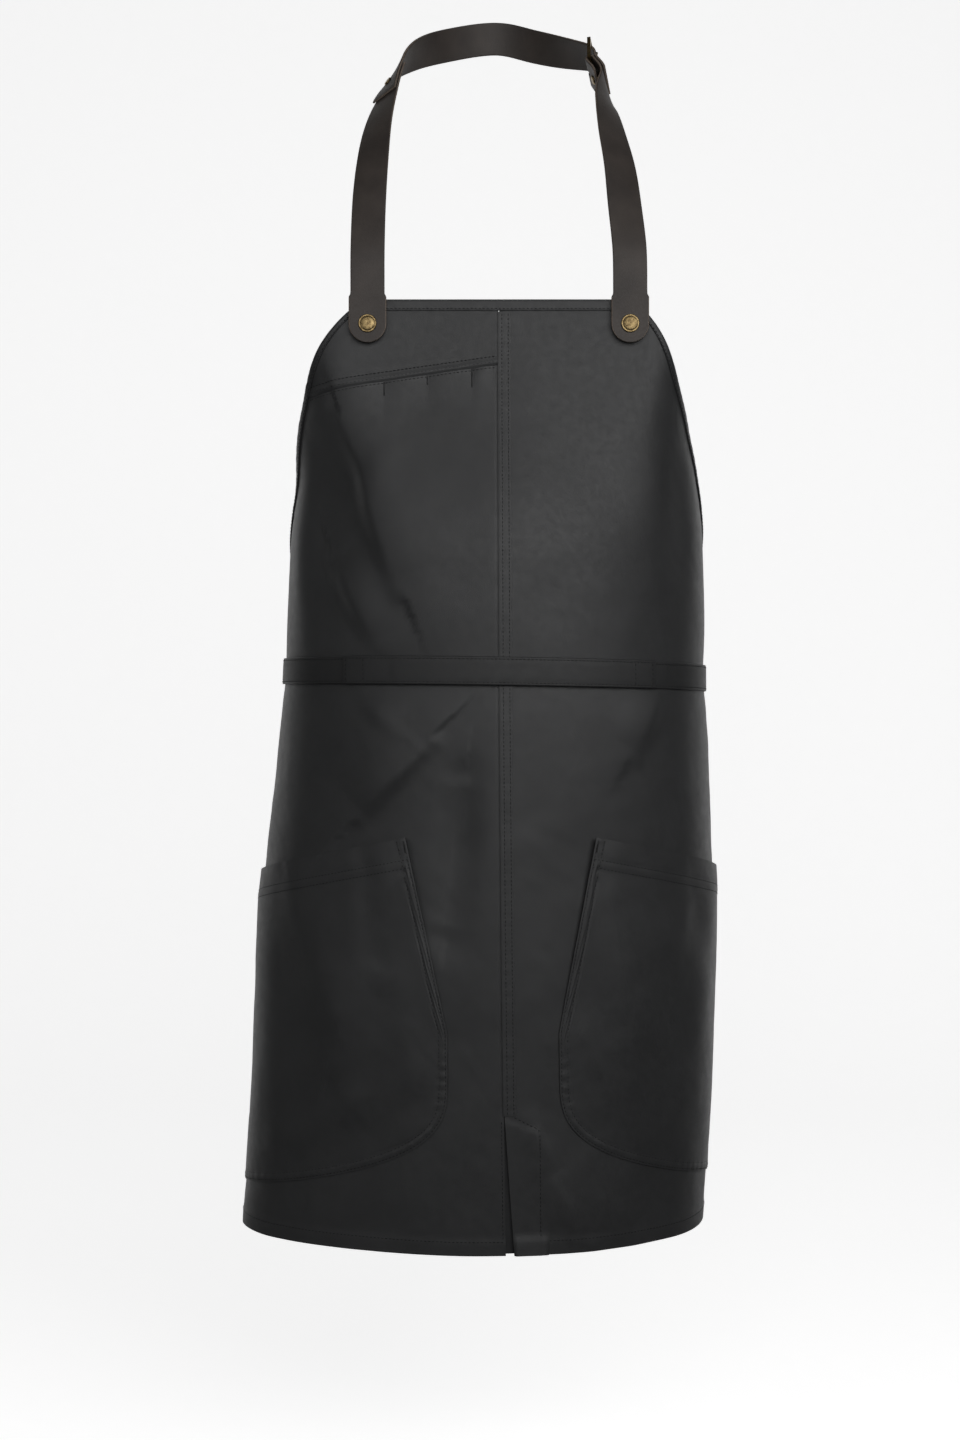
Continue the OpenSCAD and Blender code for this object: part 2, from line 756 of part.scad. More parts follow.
module strap_nape() {
    color(leather)
        difference() {
            leather_run(run_frames(5.05, 12.95, nape_off));
            at_station(rivet_t)
                rotate([90, 0, 0])
                    cylinder(d = rivet_d, h = 30, center = true, $fn = 32);
            at_station(bar_station)
                translate([-slot_w / 2, -20, -slot_from - slot_len])
                    cube([slot_w, 40, slot_len]);
            at_station(fold_rivet_t)
                rotate([90, 0, 0])
                    cylinder(d = slot_w, h = 30, center = true, $fn = 32);
        }
}

// From the end inside the fold, up to the bar, round it and down the outside to the right tab
module strap_right() {
    s = strap_frame(bar_station);
    tail = run_frames(bar_station + 0.05, 12.95, function (t) fold_off);
    main = run_frames(bar_station + 0.05, last, function (t) -fold_off * (1 - ease((t - 13) / 0.8)));
    color(leather)
        difference() {
            leather_run(concat(
                [for (i = [len(tail) - 1:-1:0]) [tail[i][0], tail[i][1], -tail[i][2]]],
                [for (a = [180:-15:0]) let (n = cos(a) * s[2] + sin(a) * s[3]) [s[0] - fold_off * n, s[1], n]],
                main
            ));
            at_station(bar_station)
                translate([-slot_w / 2, -20, -8])
                    cube([slot_w, 40, 12]);
            at_station(fold_rivet_t)
                rotate([90, 0, 0])
                    cylinder(d = rivet_d, h = 30, center = true, $fn = 32);
        }
}

// A tubular rivet with two low heads; it clamps leather from depth a to depth b along the normal
module rivet(a, b) {
    rotate([-90, 0, 0]) {
        translate([0, 0, a - rivet_rise])
            cylinder(d = rivet_d - 2 * knob_gap, h = b - a + 2 * rivet_rise, $fn = 32);
        translate([0, 0, a - rivet_rise - rivet_head])
            cylinder(d1 = 7, d2 = 8.5, h = rivet_head, $fn = 48);
        translate([0, 0, b + rivet_rise])
            cylinder(d1 = 8.5, d2 = 7, h = rivet_head, $fn = 48);
    }
}

module strap_rivets() {
    color(brass) {
        at_station(rivet_t)
            rivet(lap_off - strap_t / 2, strap_t / 2);
        at_station(fold_rivet_t)
            rivet(fold_off - strap_t / 2 - 1.4, fold_off + strap_t / 2);
    }
}

// ---- Buckle: in the bar's own frame x is along the bar, -y outward and -z up the strap ----
bar_r = wire_d / 2;
side_x = strap_w / 2 + 0.9 + bar_r;
rim = wire_d + 0.4;
// The far bar clears the nape strap that slopes behind it
far_y = nape_off(bar_station - buckle_len / station_step) - strap_t / 2 - bar_r - buckle_gap - 1.2;
buckle_tilt = atan2(-far_y, buckle_len);
buckle_reach = norm([far_y, buckle_len]);
prong_r = prong_d / 2;
// The prong rests on the far bar's outer side
prong_tilt = buckle_tilt + asin((bar_r + prong_r + 0.2) / (buckle_reach - rim));

// A stamped frame whose heel bar is turned round, so that the leather and the prong swing on it
module buckle_frame() {
    open_w = 2 * side_x - rim;
    color(brass)
        at_station(bar_station)
            rotate([-buckle_tilt, 0, 0]) {
                rotate([90, 0, 0])
                    translate([0, 0, -bar_r])
                        linear_extrude(wire_d)
                            difference() {
                                translate([-open_w / 2 - rim, -buckle_reach - rim / 2])
                                    square([open_w + 2 * rim, buckle_reach + rim]);
                                translate([-open_w / 2, -buckle_reach + rim / 2])
                                    square([open_w, buckle_reach + rim]);
                            }
                rotate([0, 90, 0])
                    cylinder(r = bar_r, h = open_w + rim, center = true, $fn = 48);
            }
}

module buckle_prong() {
    eye_r = bar_r + buckle_gap / 2;
    reach = buckle_reach + 3;
    color(brass)
        at_station(bar_station)
            rotate([-prong_tilt, 0, 0])
                difference() {
                    union() {
                        rotate([0, 90, 0])
                            cylinder(r = eye_r + 1, h = 3, center = true, $fn = 48);
                        translate([0, 0, -reach])
                            cylinder(r = prong_r, h = reach, $fn = 48);
                    }
                    rotate([0, 90, 0])
                        cylinder(r = eye_r, h = 10, center = true, $fn = 48);
                }
}

panel_left();
panel_right();
bib_yoke();
centre_seam_lap();
bib_top_hem();
armhole_binding_left();
armhole_binding_right();
side_hem_left();
side_hem_right();
bottom_hem_left();
bottom_hem_right();
vent_facing_left();
vent_facing_right();
vent_underlap();
hip_pocket_left();
hip_pocket_right();
belt_front();
belt_side_left();
belt_side_right();
belt_stud_cap();
belt_stud_post();
snap_studs();
snap_posts();
tab_left();
tab_right();
snap_caps();
snap_sockets();
strap_left();
strap_nape();
strap_right();
strap_rivets();
buckle_frame();
buckle_prong();
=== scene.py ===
import math
import bpy
import numpy as np
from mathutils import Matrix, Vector


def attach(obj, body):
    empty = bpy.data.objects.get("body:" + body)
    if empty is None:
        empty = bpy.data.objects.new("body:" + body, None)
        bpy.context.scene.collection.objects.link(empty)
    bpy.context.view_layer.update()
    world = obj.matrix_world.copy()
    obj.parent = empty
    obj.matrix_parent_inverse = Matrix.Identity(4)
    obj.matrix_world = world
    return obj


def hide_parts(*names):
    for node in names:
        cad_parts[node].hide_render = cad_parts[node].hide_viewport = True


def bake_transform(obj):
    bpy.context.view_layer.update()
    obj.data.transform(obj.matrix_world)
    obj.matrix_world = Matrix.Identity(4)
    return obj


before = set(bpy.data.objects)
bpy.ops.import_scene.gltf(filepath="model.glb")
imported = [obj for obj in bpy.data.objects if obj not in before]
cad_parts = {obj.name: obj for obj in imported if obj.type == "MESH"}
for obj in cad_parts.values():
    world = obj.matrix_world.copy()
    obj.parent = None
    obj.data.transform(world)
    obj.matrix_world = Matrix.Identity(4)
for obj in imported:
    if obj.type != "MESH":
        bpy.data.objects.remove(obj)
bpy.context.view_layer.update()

# ---- Sizes, in millimetres: the same values as the CAD part ----
MM = 0.001
BODY_H, CORNER_Z = 807.0, 516.0
SIDE_W, SIDE_FLARE = 350.0, 25.0
BIB_HALF_W, BIB_CORNER_H = 128.0, 7.0
SWAY, SEAM_SWAY = 20.0, 26.0
DRAW_RIGHT, DRAW_LEFT, FILL_LEFT = 10.0, 4.5, 4.5
CLOTH_T, GAP, EDGE_GAP = 1.2, 0.3, 2.0
HEM_H, SIDE_HEM_W, BINDING_W, TOP_HEM_H, LAP_W = 13.0, 12.0, 7.5, 9.5, 11.0
VENT_H, VENT_OPEN, FACING_W = 115.0, 6.5, 28.0
UNDERLAP_W, UNDERLAP_BACK = 16.0, 10.0
MOUTH_Z, MOUTH_SLOPE, BIB_POCKET_DEPTH = 751.0, 0.14, 130.0
POCKET_TOP_Z, POCKET_SLOPE, POCKET_FOOT_Z, POCKET_ROUND_Z = 350.0, 0.2, 34.0, 152.0
POCKET_IN, POCKET_CORNER, POCKET_OUT = 47.0, 80.0, 300.0
POCKET_BULGE, POCKET_GAP = 8.5, 0.5
BELT_Z, BELT_H, BELT_T, BELT_GAP, BELT_TILT = 478.0, 24.0, 2.0, 0.8, 0.015
BELT_FRONT_HALF, BELT_TUCK, BELT_LAP = 138.0, 24.0, 70.0
# rows of stitching: in from the pocket's edge, down from its mouth, and in from the belt's edges
POCKET_ROWS, MOUTH_ROWS, BELT_ROW = (1.8, 7.2), (18.5, 25.5), 2.2
STRAP_W, STRAP_T, TAB_W = 29.0, 2.5, 32.0
SNAP_X, SNAP_DROP, FOLD_UP = 111.5, 21.5, 8.0
SLOT_W, SLOT_LEN, SLOT_FROM = 4.0, 15.0, 3.2
WIRE_D, BUCKLE_GAP = 3.0, 0.3
TURN = math.radians(35)
LEAN, LEAN_FROM, LEAN_TO, LEAN_HALF_W, LEAN_BLEND = 26.0, 580.0, 770.0, 130.0, 110.0
ARMHOLE_RUN, ARMHOLE_SHARE = 0.35, 0.48
NECK_TOP_Z, NAPE_Y = 1091.0, 188.75
SNAP_Z = BODY_H - SNAP_DROP
FOLD_Z = BODY_H + FOLD_UP
TAB_MID = 21.15


def mix(a, b, t):
    return a + (b - a) * t


def ease(t):
    c = np.clip(t, 0, 1)
    return c * c * (3 - 2 * c)


def place(x, d, z):
    """Depth behind the front and height above the hem, in mm, to the row frame in metres."""
    return np.stack(np.broadcast_arrays(x, d - NAPE_Y, z - NECK_TOP_Z), -1) * MM


# ---- The worn surface: u runs along the cloth from the centre seam, z up from the hem ----
def half_w(z):
    return np.interp(z, [0, 285, 478, 807], [207, 201, 189, 180])


def section(z):
    a, b = half_w(z), mix(126, 112, z / BODY_H)
    q = (a - b) / (math.sin(TURN) + math.cos(TURN) - 1)
    r2 = b - q * (1 - math.cos(TURN))
    return b, q, r2, r2 + q


def oval(s, z):
    b, q, r2, r1 = section(z)
    t = np.abs(s)
    s1 = r1 * TURN
    s2 = s1 + r2 * (math.pi - 2 * TURN)
    f = np.where(t < s1, t / r1, np.where(t < s2, TURN + (t - s1) / r2, math.pi - TURN + (t - s2) / r1))
    x = np.where((t >= s1) & (t < s2), q * math.sin(TURN) + r2 * np.sin(f), r1 * np.sin(f))
    side = r1 - q * math.cos(TURN) - r2 * np.cos(f)
    d = np.where(t < s1, r1 * (1 - np.cos(f)), np.where(t < s2, side, 2 * b - r1 - r1 * np.cos(f)))
    return np.sign(s) * x, d, np.sign(s) * f


def drawn(s, z):
    """Sideways shift of the cloth beside the armholes, where one half hangs fuller than the other."""
    high = BODY_H - 82
    bell = lambda mid, width: np.exp(-(((z - mid) / width) ** 2))
    right = -DRAW_RIGHT * ease((s - 110) / 60) * bell(high, np.where(z > high, 50, 75))
    left = ease((-s - 90) / 50) * (DRAW_LEFT * bell(high - 70, 30) - FILL_LEFT * bell(high + 50, 35))
    return np.where(s > 0, right, left)


def skin(u, z, off):
    sag = (1 - z / BODY_H) ** 2
    s = u + SEAM_SWAY * sag
    x, d, f = oval(s, z)
    k = ease((z - LEAN_FROM) / (LEAN_TO - LEAN_FROM)) * (1 - ease((np.abs(s) - LEAN_HALF_W) / LEAN_BLEND))
    g = f * (1 - k)
    return place(x + drawn(s, z) - SWAY * sag + off * np.sin(g), mix(d, LEAN, k) - off * np.cos(g), z)


def edge(z):
    top = BODY_H - BIB_CORNER_H
    t = np.clip((top - z) / (top - CORNER_Z), 0, None)
    near = (1 - np.exp(-t / ARMHOLE_RUN)) / (1 - math.exp(-1 / ARMHOLE_RUN))
    upper = BIB_HALF_W + (SIDE_W - BIB_HALF_W) * mix(t**4, near, ARMHOLE_SHARE)
    return np.where(z < CORNER_Z, SIDE_W + SIDE_FLARE * (CORNER_Z - z) / CORNER_Z, upper)


def mouth(u):
    return MOUTH_Z - MOUTH_SLOPE * np.abs(u)


MOUTH_END_Z = float(mouth(edge(mouth(edge(np.float64(MOUTH_Z))))))


def vent_edge(z, side):
    return side * (GAP + (VENT_OPEN * np.clip(1 - z / VENT_H, 0, None) if side > 0 else 0 * z))


# ---- Folds: crests [u0, z0, u1, z1, width on its left, width on its right, height] ----
FOLDS = [
    [-176, 716, -158, 620, 26, 34, -8.0],
    [-140, 705, -84, 560, 12, 42, 7.5],
    [-150, 590, -104, 512, 10, 30, 5.4],
    [-196, 640, -186, 520, 16, 18, 2.2],
    [-118, 470, -88, 440, 9, 22, 2.6],
    [-60, 432, -124, 368, 46, 9, 5.6],
    [-30, 400, -48, 270, 15, 22, -6.0],
    [-4, 430, -4, 300, 24, 24, 1.2],
    [150, 478, 116, 420, 26, 10, 3.6],
    [176, 690, 168, 560, 20, 16, -3.0],
    [120, 660, 60, 520, 60, 60, 1.6],
    [60, 700, 120, 620, 30, 30, -0.9],
    [20, 112, 44, 66, 12, 9, 1.7],
    [30, 70, 74, 8, 13, 11, 1.9],
    [64, 60, 110, 6, 14, 20, 1.4],
    [-60, 90, -96, 4, 22, 28, 1.5],
    [-160, 260, -132, 130, 24, 24, 1.6],
    [-205, 300, -196, 80, 16, 24, -2.0],
    [84, 290, 120, 190, 24, 30, 1.4],
    [190, 300, 176, 240, 14, 18, -1.6],
    [250, 470, 262, 20, 30, 34, 3.5],
    [325, 500, 340, 10, 30, 26, -3.5],
    [-255, 470, -262, 20, 34, 30, 3.2],
    [-330, 500, -344, 10, 26, 30, -3.4],
]


def lattice(u, z, cell, seed):
    """Smooth noise from -1 to 1 with features about one cell wide."""
    rng = np.random.default_rng(seed)
    table = rng.uniform(-1, 1, (64, 64))
    a, b = u / cell + 31.7, z / cell + 7.3
    i, j = np.floor(a).astype(int), np.floor(b).astype(int)
    p, q = ease(a - i), ease(b - j)
    at = lambda m, n: table[(i + m) % 64, (j + n) % 64]
    return mix(mix(at(0, 0), at(1, 0), p), mix(at(0, 1), at(1, 1), p), q)


def relief(u, z):
    """How far the folds stand out from the smooth worn surface, in mm."""
    h = 0.9 * lattice(u + 0.3 * z, 0.45 * z - 0.2 * u, 62, 3)
    h = h + 0.35 * lattice(u - 0.4 * z, z, 27, 5) + 0.12 * lattice(u, z + 0.5 * u, 11, 8)
    for u0, z0, u1, z1, wl, wr, height in FOLDS:
        du, dz = u1 - u0, z1 - z0
        length = math.hypot(du, dz)
        t = np.clip(((u - u0) * du + (z - z0) * dz) / length**2, 0, 1)
        across = ((u - u0) * dz - (z - z0) * du) / length
        dist = np.hypot(u - u0 - t * du, z - z0 - t * dz)
        # a crest runs downward, so a positive cross product lies on its left side
        width = np.where(across > 0, wl, wr)
        along = 0.35 + 0.65 * np.sin(math.pi * np.clip(t, 0.05, 0.95))
        h = h + height * np.exp(-((dist / width) ** 2)) * along
    belt = np.exp(-(((z - BELT_Z - BELT_H / 2) / 26) ** 2))
    flutes = 2.2 * np.sin(u / 47.0 + 0.6) * ease((150 - z) / 150) * ease(np.abs(u) / 60)
    top = 1 - ease((z - 735) / 50)
    seam = ease(np.abs(u) / 30)
    return (h + flutes) * (1 - 0.75 * belt) * mix(0.2, 1, top) * mix(0.35, 1, seam) - 1.2 * belt


def worn(u, z, off):
    return skin(u, z, off + relief(u, z))


# ---- Meshes ----
def mesh_piece(name, verts, faces, uv, slots):
    """slots is a list of materials; every face takes the first until its material index is set."""
    me = bpy.data.meshes.new(name)
    me.from_pydata(np.asarray(verts).reshape(-1, 3).tolist(), [], faces)
    layer = me.uv_layers.new(name="cloth")
    loops = np.empty(len(me.loops), np.int32)
    me.loops.foreach_get("vertex_index", loops)
    layer.data.foreach_set("uv", (np.asarray(uv).reshape(-1, 2)[loops] / 100).astype(np.float32).ravel())
    for m in slots:
        me.materials.append(m)
    me.polygons.foreach_set("use_smooth", np.ones(len(me.polygons), bool))
    me.set_sharp_from_angle(angle=math.radians(50))
    obj = bpy.data.objects.new(name, me)
    bpy.context.scene.collection.objects.link(obj)
    return obj


def grid_quads(n, m, base, flip):
    j, i = np.meshgrid(np.arange(n - 1), np.arange(m - 1), indexing="ij")
    a = base + j * m + i
    q = np.stack((a, a + m, a + m + 1, a + 1), -1).reshape(-1, 4)
    return q[:, ::-1] if flip else q


def shell(name, outer, inner, uv, slots, rim_slot=0):
    """A closed sheet between two grids [column][row]; columns run toward +u and rows toward +z."""
    n, m = outer.shape[:2]
    k = n * m
    at = np.arange(k).reshape(n, m)
    ring = np.concatenate((at[:, 0], at[-1, 1:], at[-2::-1, -1], at[0, -2:0:-1]))
    nxt = np.roll(ring, -1)
    rim = np.stack((ring, ring + k, nxt + k, nxt), -1)
    faces = np.concatenate((grid_quads(n, m, 0, False), grid_quads(n, m, k, True), rim))
    obj = mesh_piece(name, np.concatenate((outer.reshape(-1, 3), inner.reshape(-1, 3))), faces.tolist(),
                     np.concatenate((uv.reshape(-1, 2), uv.reshape(-1, 2))), slots)
    if rim_slot:
        index = np.zeros(len(faces), np.int32)
        index[-len(rim):] = rim_slot
        obj.data.polygons.foreach_set("material_index", index)
    return obj


def layer(name, u, z, off, thick, material):
    u, z = np.broadcast_arrays(u, z)
    h = relief(u, z)
    outer, inner = skin(u, z, off + h), skin(u, z, off + h - thick)
    # the rim faces take the painted shadow material: a dark line painted along the layer's edges
    return shell(name, outer, inner, np.stack((u, z), -1), [material, SHADOW], 1)


def on_apron(obj, slot, *nodes):
    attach(obj, "apron")
    if nodes:
        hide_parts(*nodes)
    return obj


# ---- Materials ----
def new_material(name):
    m = bpy.data.materials.new(name)
    m.use_nodes = True
    tree = m.node_tree
    tree.nodes.clear()
    out = tree.nodes.new("ShaderNodeOutputMaterial")
    shader = tree.nodes.new("ShaderNodeBsdfPrincipled")
    tree.links.new(shader.outputs[0], out.inputs[0])
    return m, tree, shader


def texture(tree, kind, vector, **inputs):
    node = tree.nodes.new(kind)
    tree.links.new(vector, node.inputs["Vector"])
    for key, value in inputs.items():
        if key.startswith("p_"):
            setattr(node, key[2:], value)
        else:
            node.inputs[key.replace("_", " ")].default_value = value
    return node.outputs["Fac"] if "Fac" in node.outputs else node.outputs[0]


def surface_coordinates(tree):
    node = tree.nodes.new("ShaderNodeUVMap")
    node.uv_map = "cloth"
    return node.outputs[0]


def object_coordinates(tree):
    return tree.nodes.new("ShaderNodeTexCoord").outputs["Object"]


def ramp(tree, fac, stops):
    node = tree.nodes.new("ShaderNodeValToRGB")
    tree.links.new(fac, node.inputs[0])
    while len(node.color_ramp.elements) < len(stops):
        node.color_ramp.elements.new(0.5)
    for element, (at, colour) in zip(node.color_ramp.elements, stops):
        element.position = at
        element.color = (*colour, 1)
    return node.outputs[0]


def spread(tree, fac, low, high):
    node = tree.nodes.new("ShaderNodeMapRange")
    tree.links.new(fac, node.inputs[0])
    for i, v in enumerate((0.3, 0.7, low, high)):
        node.inputs[i + 1].default_value = v
    return node.outputs[0]


def add(tree, a, b, share):
    node = tree.nodes.new("ShaderNodeMath")
    node.operation = "MULTIPLY_ADD"
    tree.links.new(b, node.inputs[0])
    node.inputs[1].default_value = share
    tree.links.new(a, node.inputs[2])
    return node.outputs[0]


def bump(tree, shader, height, strength, distance):
    node = tree.nodes.new("ShaderNodeBump")
    node.inputs["Strength"].default_value = strength
    node.inputs["Distance"].default_value = distance
    tree.links.new(height, node.inputs["Height"])
    tree.links.new(node.outputs[0], shader.inputs["Normal"])


def coated_cloth(name, dark, light, rough_low, rough_high, sheen, specular=0.5):
    m, tree, shader = new_material(name)
    at = surface_coordinates(tree)
    blotch = texture(tree, "ShaderNodeTexNoise", at, Scale=1.1, Detail=5.0, Roughness=0.6)
    rub = texture(tree, "ShaderNodeTexNoise", at, Scale=14.0, Detail=6.0, Roughness=0.7)
    slub = texture(tree, "ShaderNodeTexNoise", at, Scale=160.0, Detail=2.0)
    twill = texture(tree, "ShaderNodeTexWave", at, Scale=72.0, Distortion=0.6, p_bands_direction="DIAGONAL")
    tone = add(tree, blotch, rub, 0.35)
    tree.links.new(ramp(tree, tone, [(0.42, dark), (0.9, light)]), shader.inputs["Base Color"])
    tree.links.new(spread(tree, rub, rough_low, rough_high), shader.inputs["Roughness"])
    bump(tree, shader, add(tree, twill, slub, 0.8), 0.35, 0.00008)
    shader.inputs["Specular IOR Level"].default_value = specular
    shader.inputs["Sheen Weight"].default_value = sheen
    shader.inputs["Sheen Roughness"].default_value = 0.45
    return m


def leather_face():
    m, tree, shader = new_material("leather")
    at = surface_coordinates(tree)
    grain = texture(tree, "ShaderNodeTexVoronoi", at, Scale=95.0, p_feature="SMOOTH_F1", Smoothness=0.35)
    fine = texture(tree, "ShaderNodeTexNoise", at, Scale=60.0, Detail=5.0, Roughness=0.65)
    patch = texture(tree, "ShaderNodeTexNoise", at, Scale=3.0, Detail=4.0)
    tone = add(tree, patch, fine, 0.3)
    colour = ramp(tree, tone, [(0.45, (0.030, 0.024, 0.021)), (0.85, (0.052, 0.042, 0.036))])
    tree.links.new(colour, shader.inputs["Base Color"])
    tree.links.new(spread(tree, fine, 0.5, 0.68), shader.inputs["Roughness"])
    bump(tree, shader, add(tree, fine, grain, 0.7), 0.4, 0.00018)
    shader.inputs["Specular IOR Level"].default_value = 0.45
    return m


def leather_rim():
    m, tree, shader = new_material("leather_cut_edge")
    at = object_coordinates(tree)
    fibre = texture(tree, "ShaderNodeTexNoise", at, Scale=1400.0, Detail=4.0, Roughness=0.7)
    tree.links.new(ramp(tree, fibre, [(0.3, (0.07, 0.052, 0.040)), (0.7, (0.19, 0.15, 0.12))]),
                   shader.inputs["Base Color"])
    bump(tree, shader, fibre, 0.5, 0.0002)
    shader.inputs["Roughness"].default_value = 0.8
    return m


def antique_brass():
    m, tree, shader = new_material("antique_brass")
    at = object_coordinates(tree)
    cloud = texture(tree, "ShaderNodeTexNoise", at, Scale=320.0, Detail=6.0, Roughness=0.7)
    scratch = texture(tree, "ShaderNodeTexNoise", at, Scale=2600.0, Detail=2.0)
    tone = add(tree, cloud, scratch, 0.25)
    tree.links.new(ramp(tree, tone, [(0.45, (0.08, 0.056, 0.030)), (0.62, (0.22, 0.158, 0.075)),
                                     (0.85, (0.34, 0.255, 0.125))]), shader.inputs["Base Color"])
    tree.links.new(spread(tree, cloud, 0.5, 0.3), shader.inputs["Roughness"])
    bump(tree, shader, tone, 0.15, 0.0001)
    shader.inputs["Metallic"].default_value = 1.0
    return m


def sewing_thread():
    m, tree, shader = new_material("thread")
    at = object_coordinates(tree)
    twist = texture(tree, "ShaderNodeTexWave", at, Scale=900.0, Distortion=1.0, p_bands_direction="DIAGONAL")
    tree.links.new(ramp(tree, twist, [(0.2, (0.003, 0.003, 0.003)), (0.8, (0.010, 0.010, 0.0105))]),
                   shader.inputs["Base Color"])
    bump(tree, shader, twist, 0.4, 0.00005)
    shader.inputs["Roughness"].default_value = 0.7
    shader.inputs["Specular IOR Level"].default_value = 0.3
    return m


CLOTH = coated_cloth("coated_cloth", (0.013, 0.0133, 0.014), (0.022, 0.0225, 0.0235), 0.46, 0.58, 0.12)
TRIM = coated_cloth("trim_cloth", (0.010, 0.0102, 0.011), (0.017, 0.0174, 0.0185), 0.44, 0.56, 0.10)
# painted shadow: a near-black material for the rim faces of the cloth pieces, drawn as the dark shadow line
# along their cut and turned edges
SHADOW = coated_cloth("painted_shadow_edge", (0.002, 0.002, 0.002), (0.004, 0.004, 0.004), 0.7, 0.8, 0.0, 0.2)
WEBBING = coated_cloth("belt_cloth", (0.006, 0.0062, 0.0066), (0.011, 0.0113, 0.012), 0.5, 0.62, 0.05)
LEATHER, RIM, BRASS, THREAD = leather_face(), leather_rim(), antique_brass(), sewing_thread()


# ---- Stitches ----
def along_line(points, step=1.0):
    """A polyline of [u, z] resampled every step mm."""
    p = np.asarray(points, float)
    run = np.concatenate(([0], np.cumsum(np.hypot(*np.diff(p, axis=0).T))))
    s = np.linspace(0, run[-1], max(3, int(run[-1] / step)))
    return np.stack([np.interp(s, run, p[:, k]) for k in (0, 1)], -1)


# a stitch is five rings of six points: each ring's place along it, its height and its radius
RINGS, SIDES = 5, 6
ACROSS = np.linspace(-0.5, 0.5, RINGS)
RISE = np.array([-0.22, 0.14, 0.2, 0.14, -0.22])
SWELL = np.array([0.1, 0.26, 0.3, 0.26, 0.1])


def stitch_run(points, off, length=2.5, gap=0.9, width=1.0):
    """Vertices of one row of stitches on the surface that lies off mm from the worn cloth."""
    p = along_line(points)
    h = off(p[:, 0], p[:, 1]) if callable(off) else np.full(len(p), off)
    spot = worn(p[:, 0], p[:, 1], h) / MM
    up = worn(p[:, 0], p[:, 1], h + 1) / MM - spot
    run = np.concatenate(([0], np.cumsum(np.linalg.norm(np.diff(spot, axis=0), axis=1))))
    count = int(run[-1] // (length + gap))
    if count < 1:
        return np.zeros((0, RINGS, SIDES, 3))
    mid = (np.arange(count) + 0.5) * run[-1] / count
    get = lambda array, s: np.stack([np.interp(s, run, array[:, k]) for k in range(3)], -1)
    c, n = get(spot, mid), get(up, mid)
    t = get(spot, mid + length / 2) - get(spot, mid - length / 2)
    t /= np.linalg.norm(t, axis=1, keepdims=True)
    b = np.cross(n, t)
    a = np.linspace(0, 2 * math.pi, SIDES, endpoint=False)
    lift = RISE[:, None] + SWELL[:, None] * np.sin(a)
    wide = width * SWELL[:, None] * np.cos(a)
    return (c[:, None, None] + t[:, None, None] * (ACROSS * length)[:, None, None]
            + n[:, None, None] * lift[..., None] + b[:, None, None] * wide[..., None]) * MM


def stitches(name, runs, body="apron"):
    v = np.concatenate(runs)
    k, points = len(v), RINGS * SIDES
    i, j = np.meshgrid(np.arange(RINGS - 1), np.arange(SIDES), indexing="ij")
    a, b = i * SIDES + j, i * SIDES + (j + 1) % SIDES
    one = np.stack((a, b, b + SIDES, a + SIDES), -1).reshape(-1, 4)
    quads = (one[None] + (np.arange(k) * points)[:, None, None]).reshape(-1, 4).tolist()
    caps = (list(range(SIDES))[::-1], list(range(points - SIDES, points)))
    ends = [[s * points + e for e in ring] for s in range(k) for ring in caps]
    obj = mesh_piece(name, v, quads + ends, np.zeros((k * points, 2)), [THREAD])
    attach(obj, body)
    return obj


def bartack(u, z, du, dz, off, width=1.6):
    """Dense short stitches across a line from [u, z] by [du, dz]."""
    length = math.hypot(du, dz)
    nu, nz = -dz / length * width / 2, du / length * width / 2
    rows = []
    for k in np.linspace(0, 1, max(4, int(length / 0.75))):
        cu, cz = u + k * du, z + k * dz
        rows.append(stitch_run([[cu - nu, cz - nz], [cu + nu, cz + nz]], off, width * 0.9, 0.05, 1.1))
    return np.concatenate(rows)


# ---- Panels ----
def rows_between(z0, z1, step):
    return np.linspace(z0, z1, max(2, int(round((z1 - z0) / step)) + 1))


def column_fractions(count):
    """From the seam to the side edge, closer together beside the seam."""
    f = np.linspace(0, 1, count)
    return f - 0.6 * np.sin(2 * math.pi * f) / (2 * math.pi) * (f < 0.5)


PEN_TACKS = [-100.0, -61.5, -23.0]


def pen_openings(u, z):
    """The bib pocket's mouth stands open between its bartacks."""
    drop = mouth(u) - z
    spots = [-150.0, *PEN_TACKS, -4.0]
    h = 0 * u
    for a, b in zip(spots[:-1], spots[1:]):
        h = h + np.where((u > a) & (u < b), np.sin(math.pi * np.clip((u - a) / (b - a), 0, 1)) ** 0.8, 0)
    return 2.0 * h * np.exp(-np.clip(drop, 0, None) / 14) * ease((60 - drop) / 60)


def panel_relief(u, z, side):
    h = relief(u, z)
    # the turned bottom hem and the folded corner by the vent are thicker
    h = h + 0.45 * ease((HEM_H + 1.2 - z) / 2.4)
    seam_line = np.abs(np.abs(u) - 1.5)
    h = h - 0.5 * np.exp(-((seam_line / 1.3) ** 2)) * ease((z - VENT_H) / 6)
    to_edge = np.clip(edge(z) - np.abs(u), 0, None)
    ripple = 0.22 * np.sin(z / 1.5 + 2 * lattice(u, z, 30, 12)) * np.exp(-to_edge / 7)
    h = h + ripple * ease((z - CORNER_Z) / 20)
    if side > 0:
        corner = ease((18 - z) / 4) * ease((u - 6) / 3) * ease((37 - u) / 3)
        h = h + corner * (0.5 + (18 - z) * 0.10)
        h = h + 0.5 * ease((FACING_W + 3 - u) / 3) * ease((VENT_H - 0.35 * u - z) / 3)
    else:
        h = h + pen_openings(u, z)
    return h


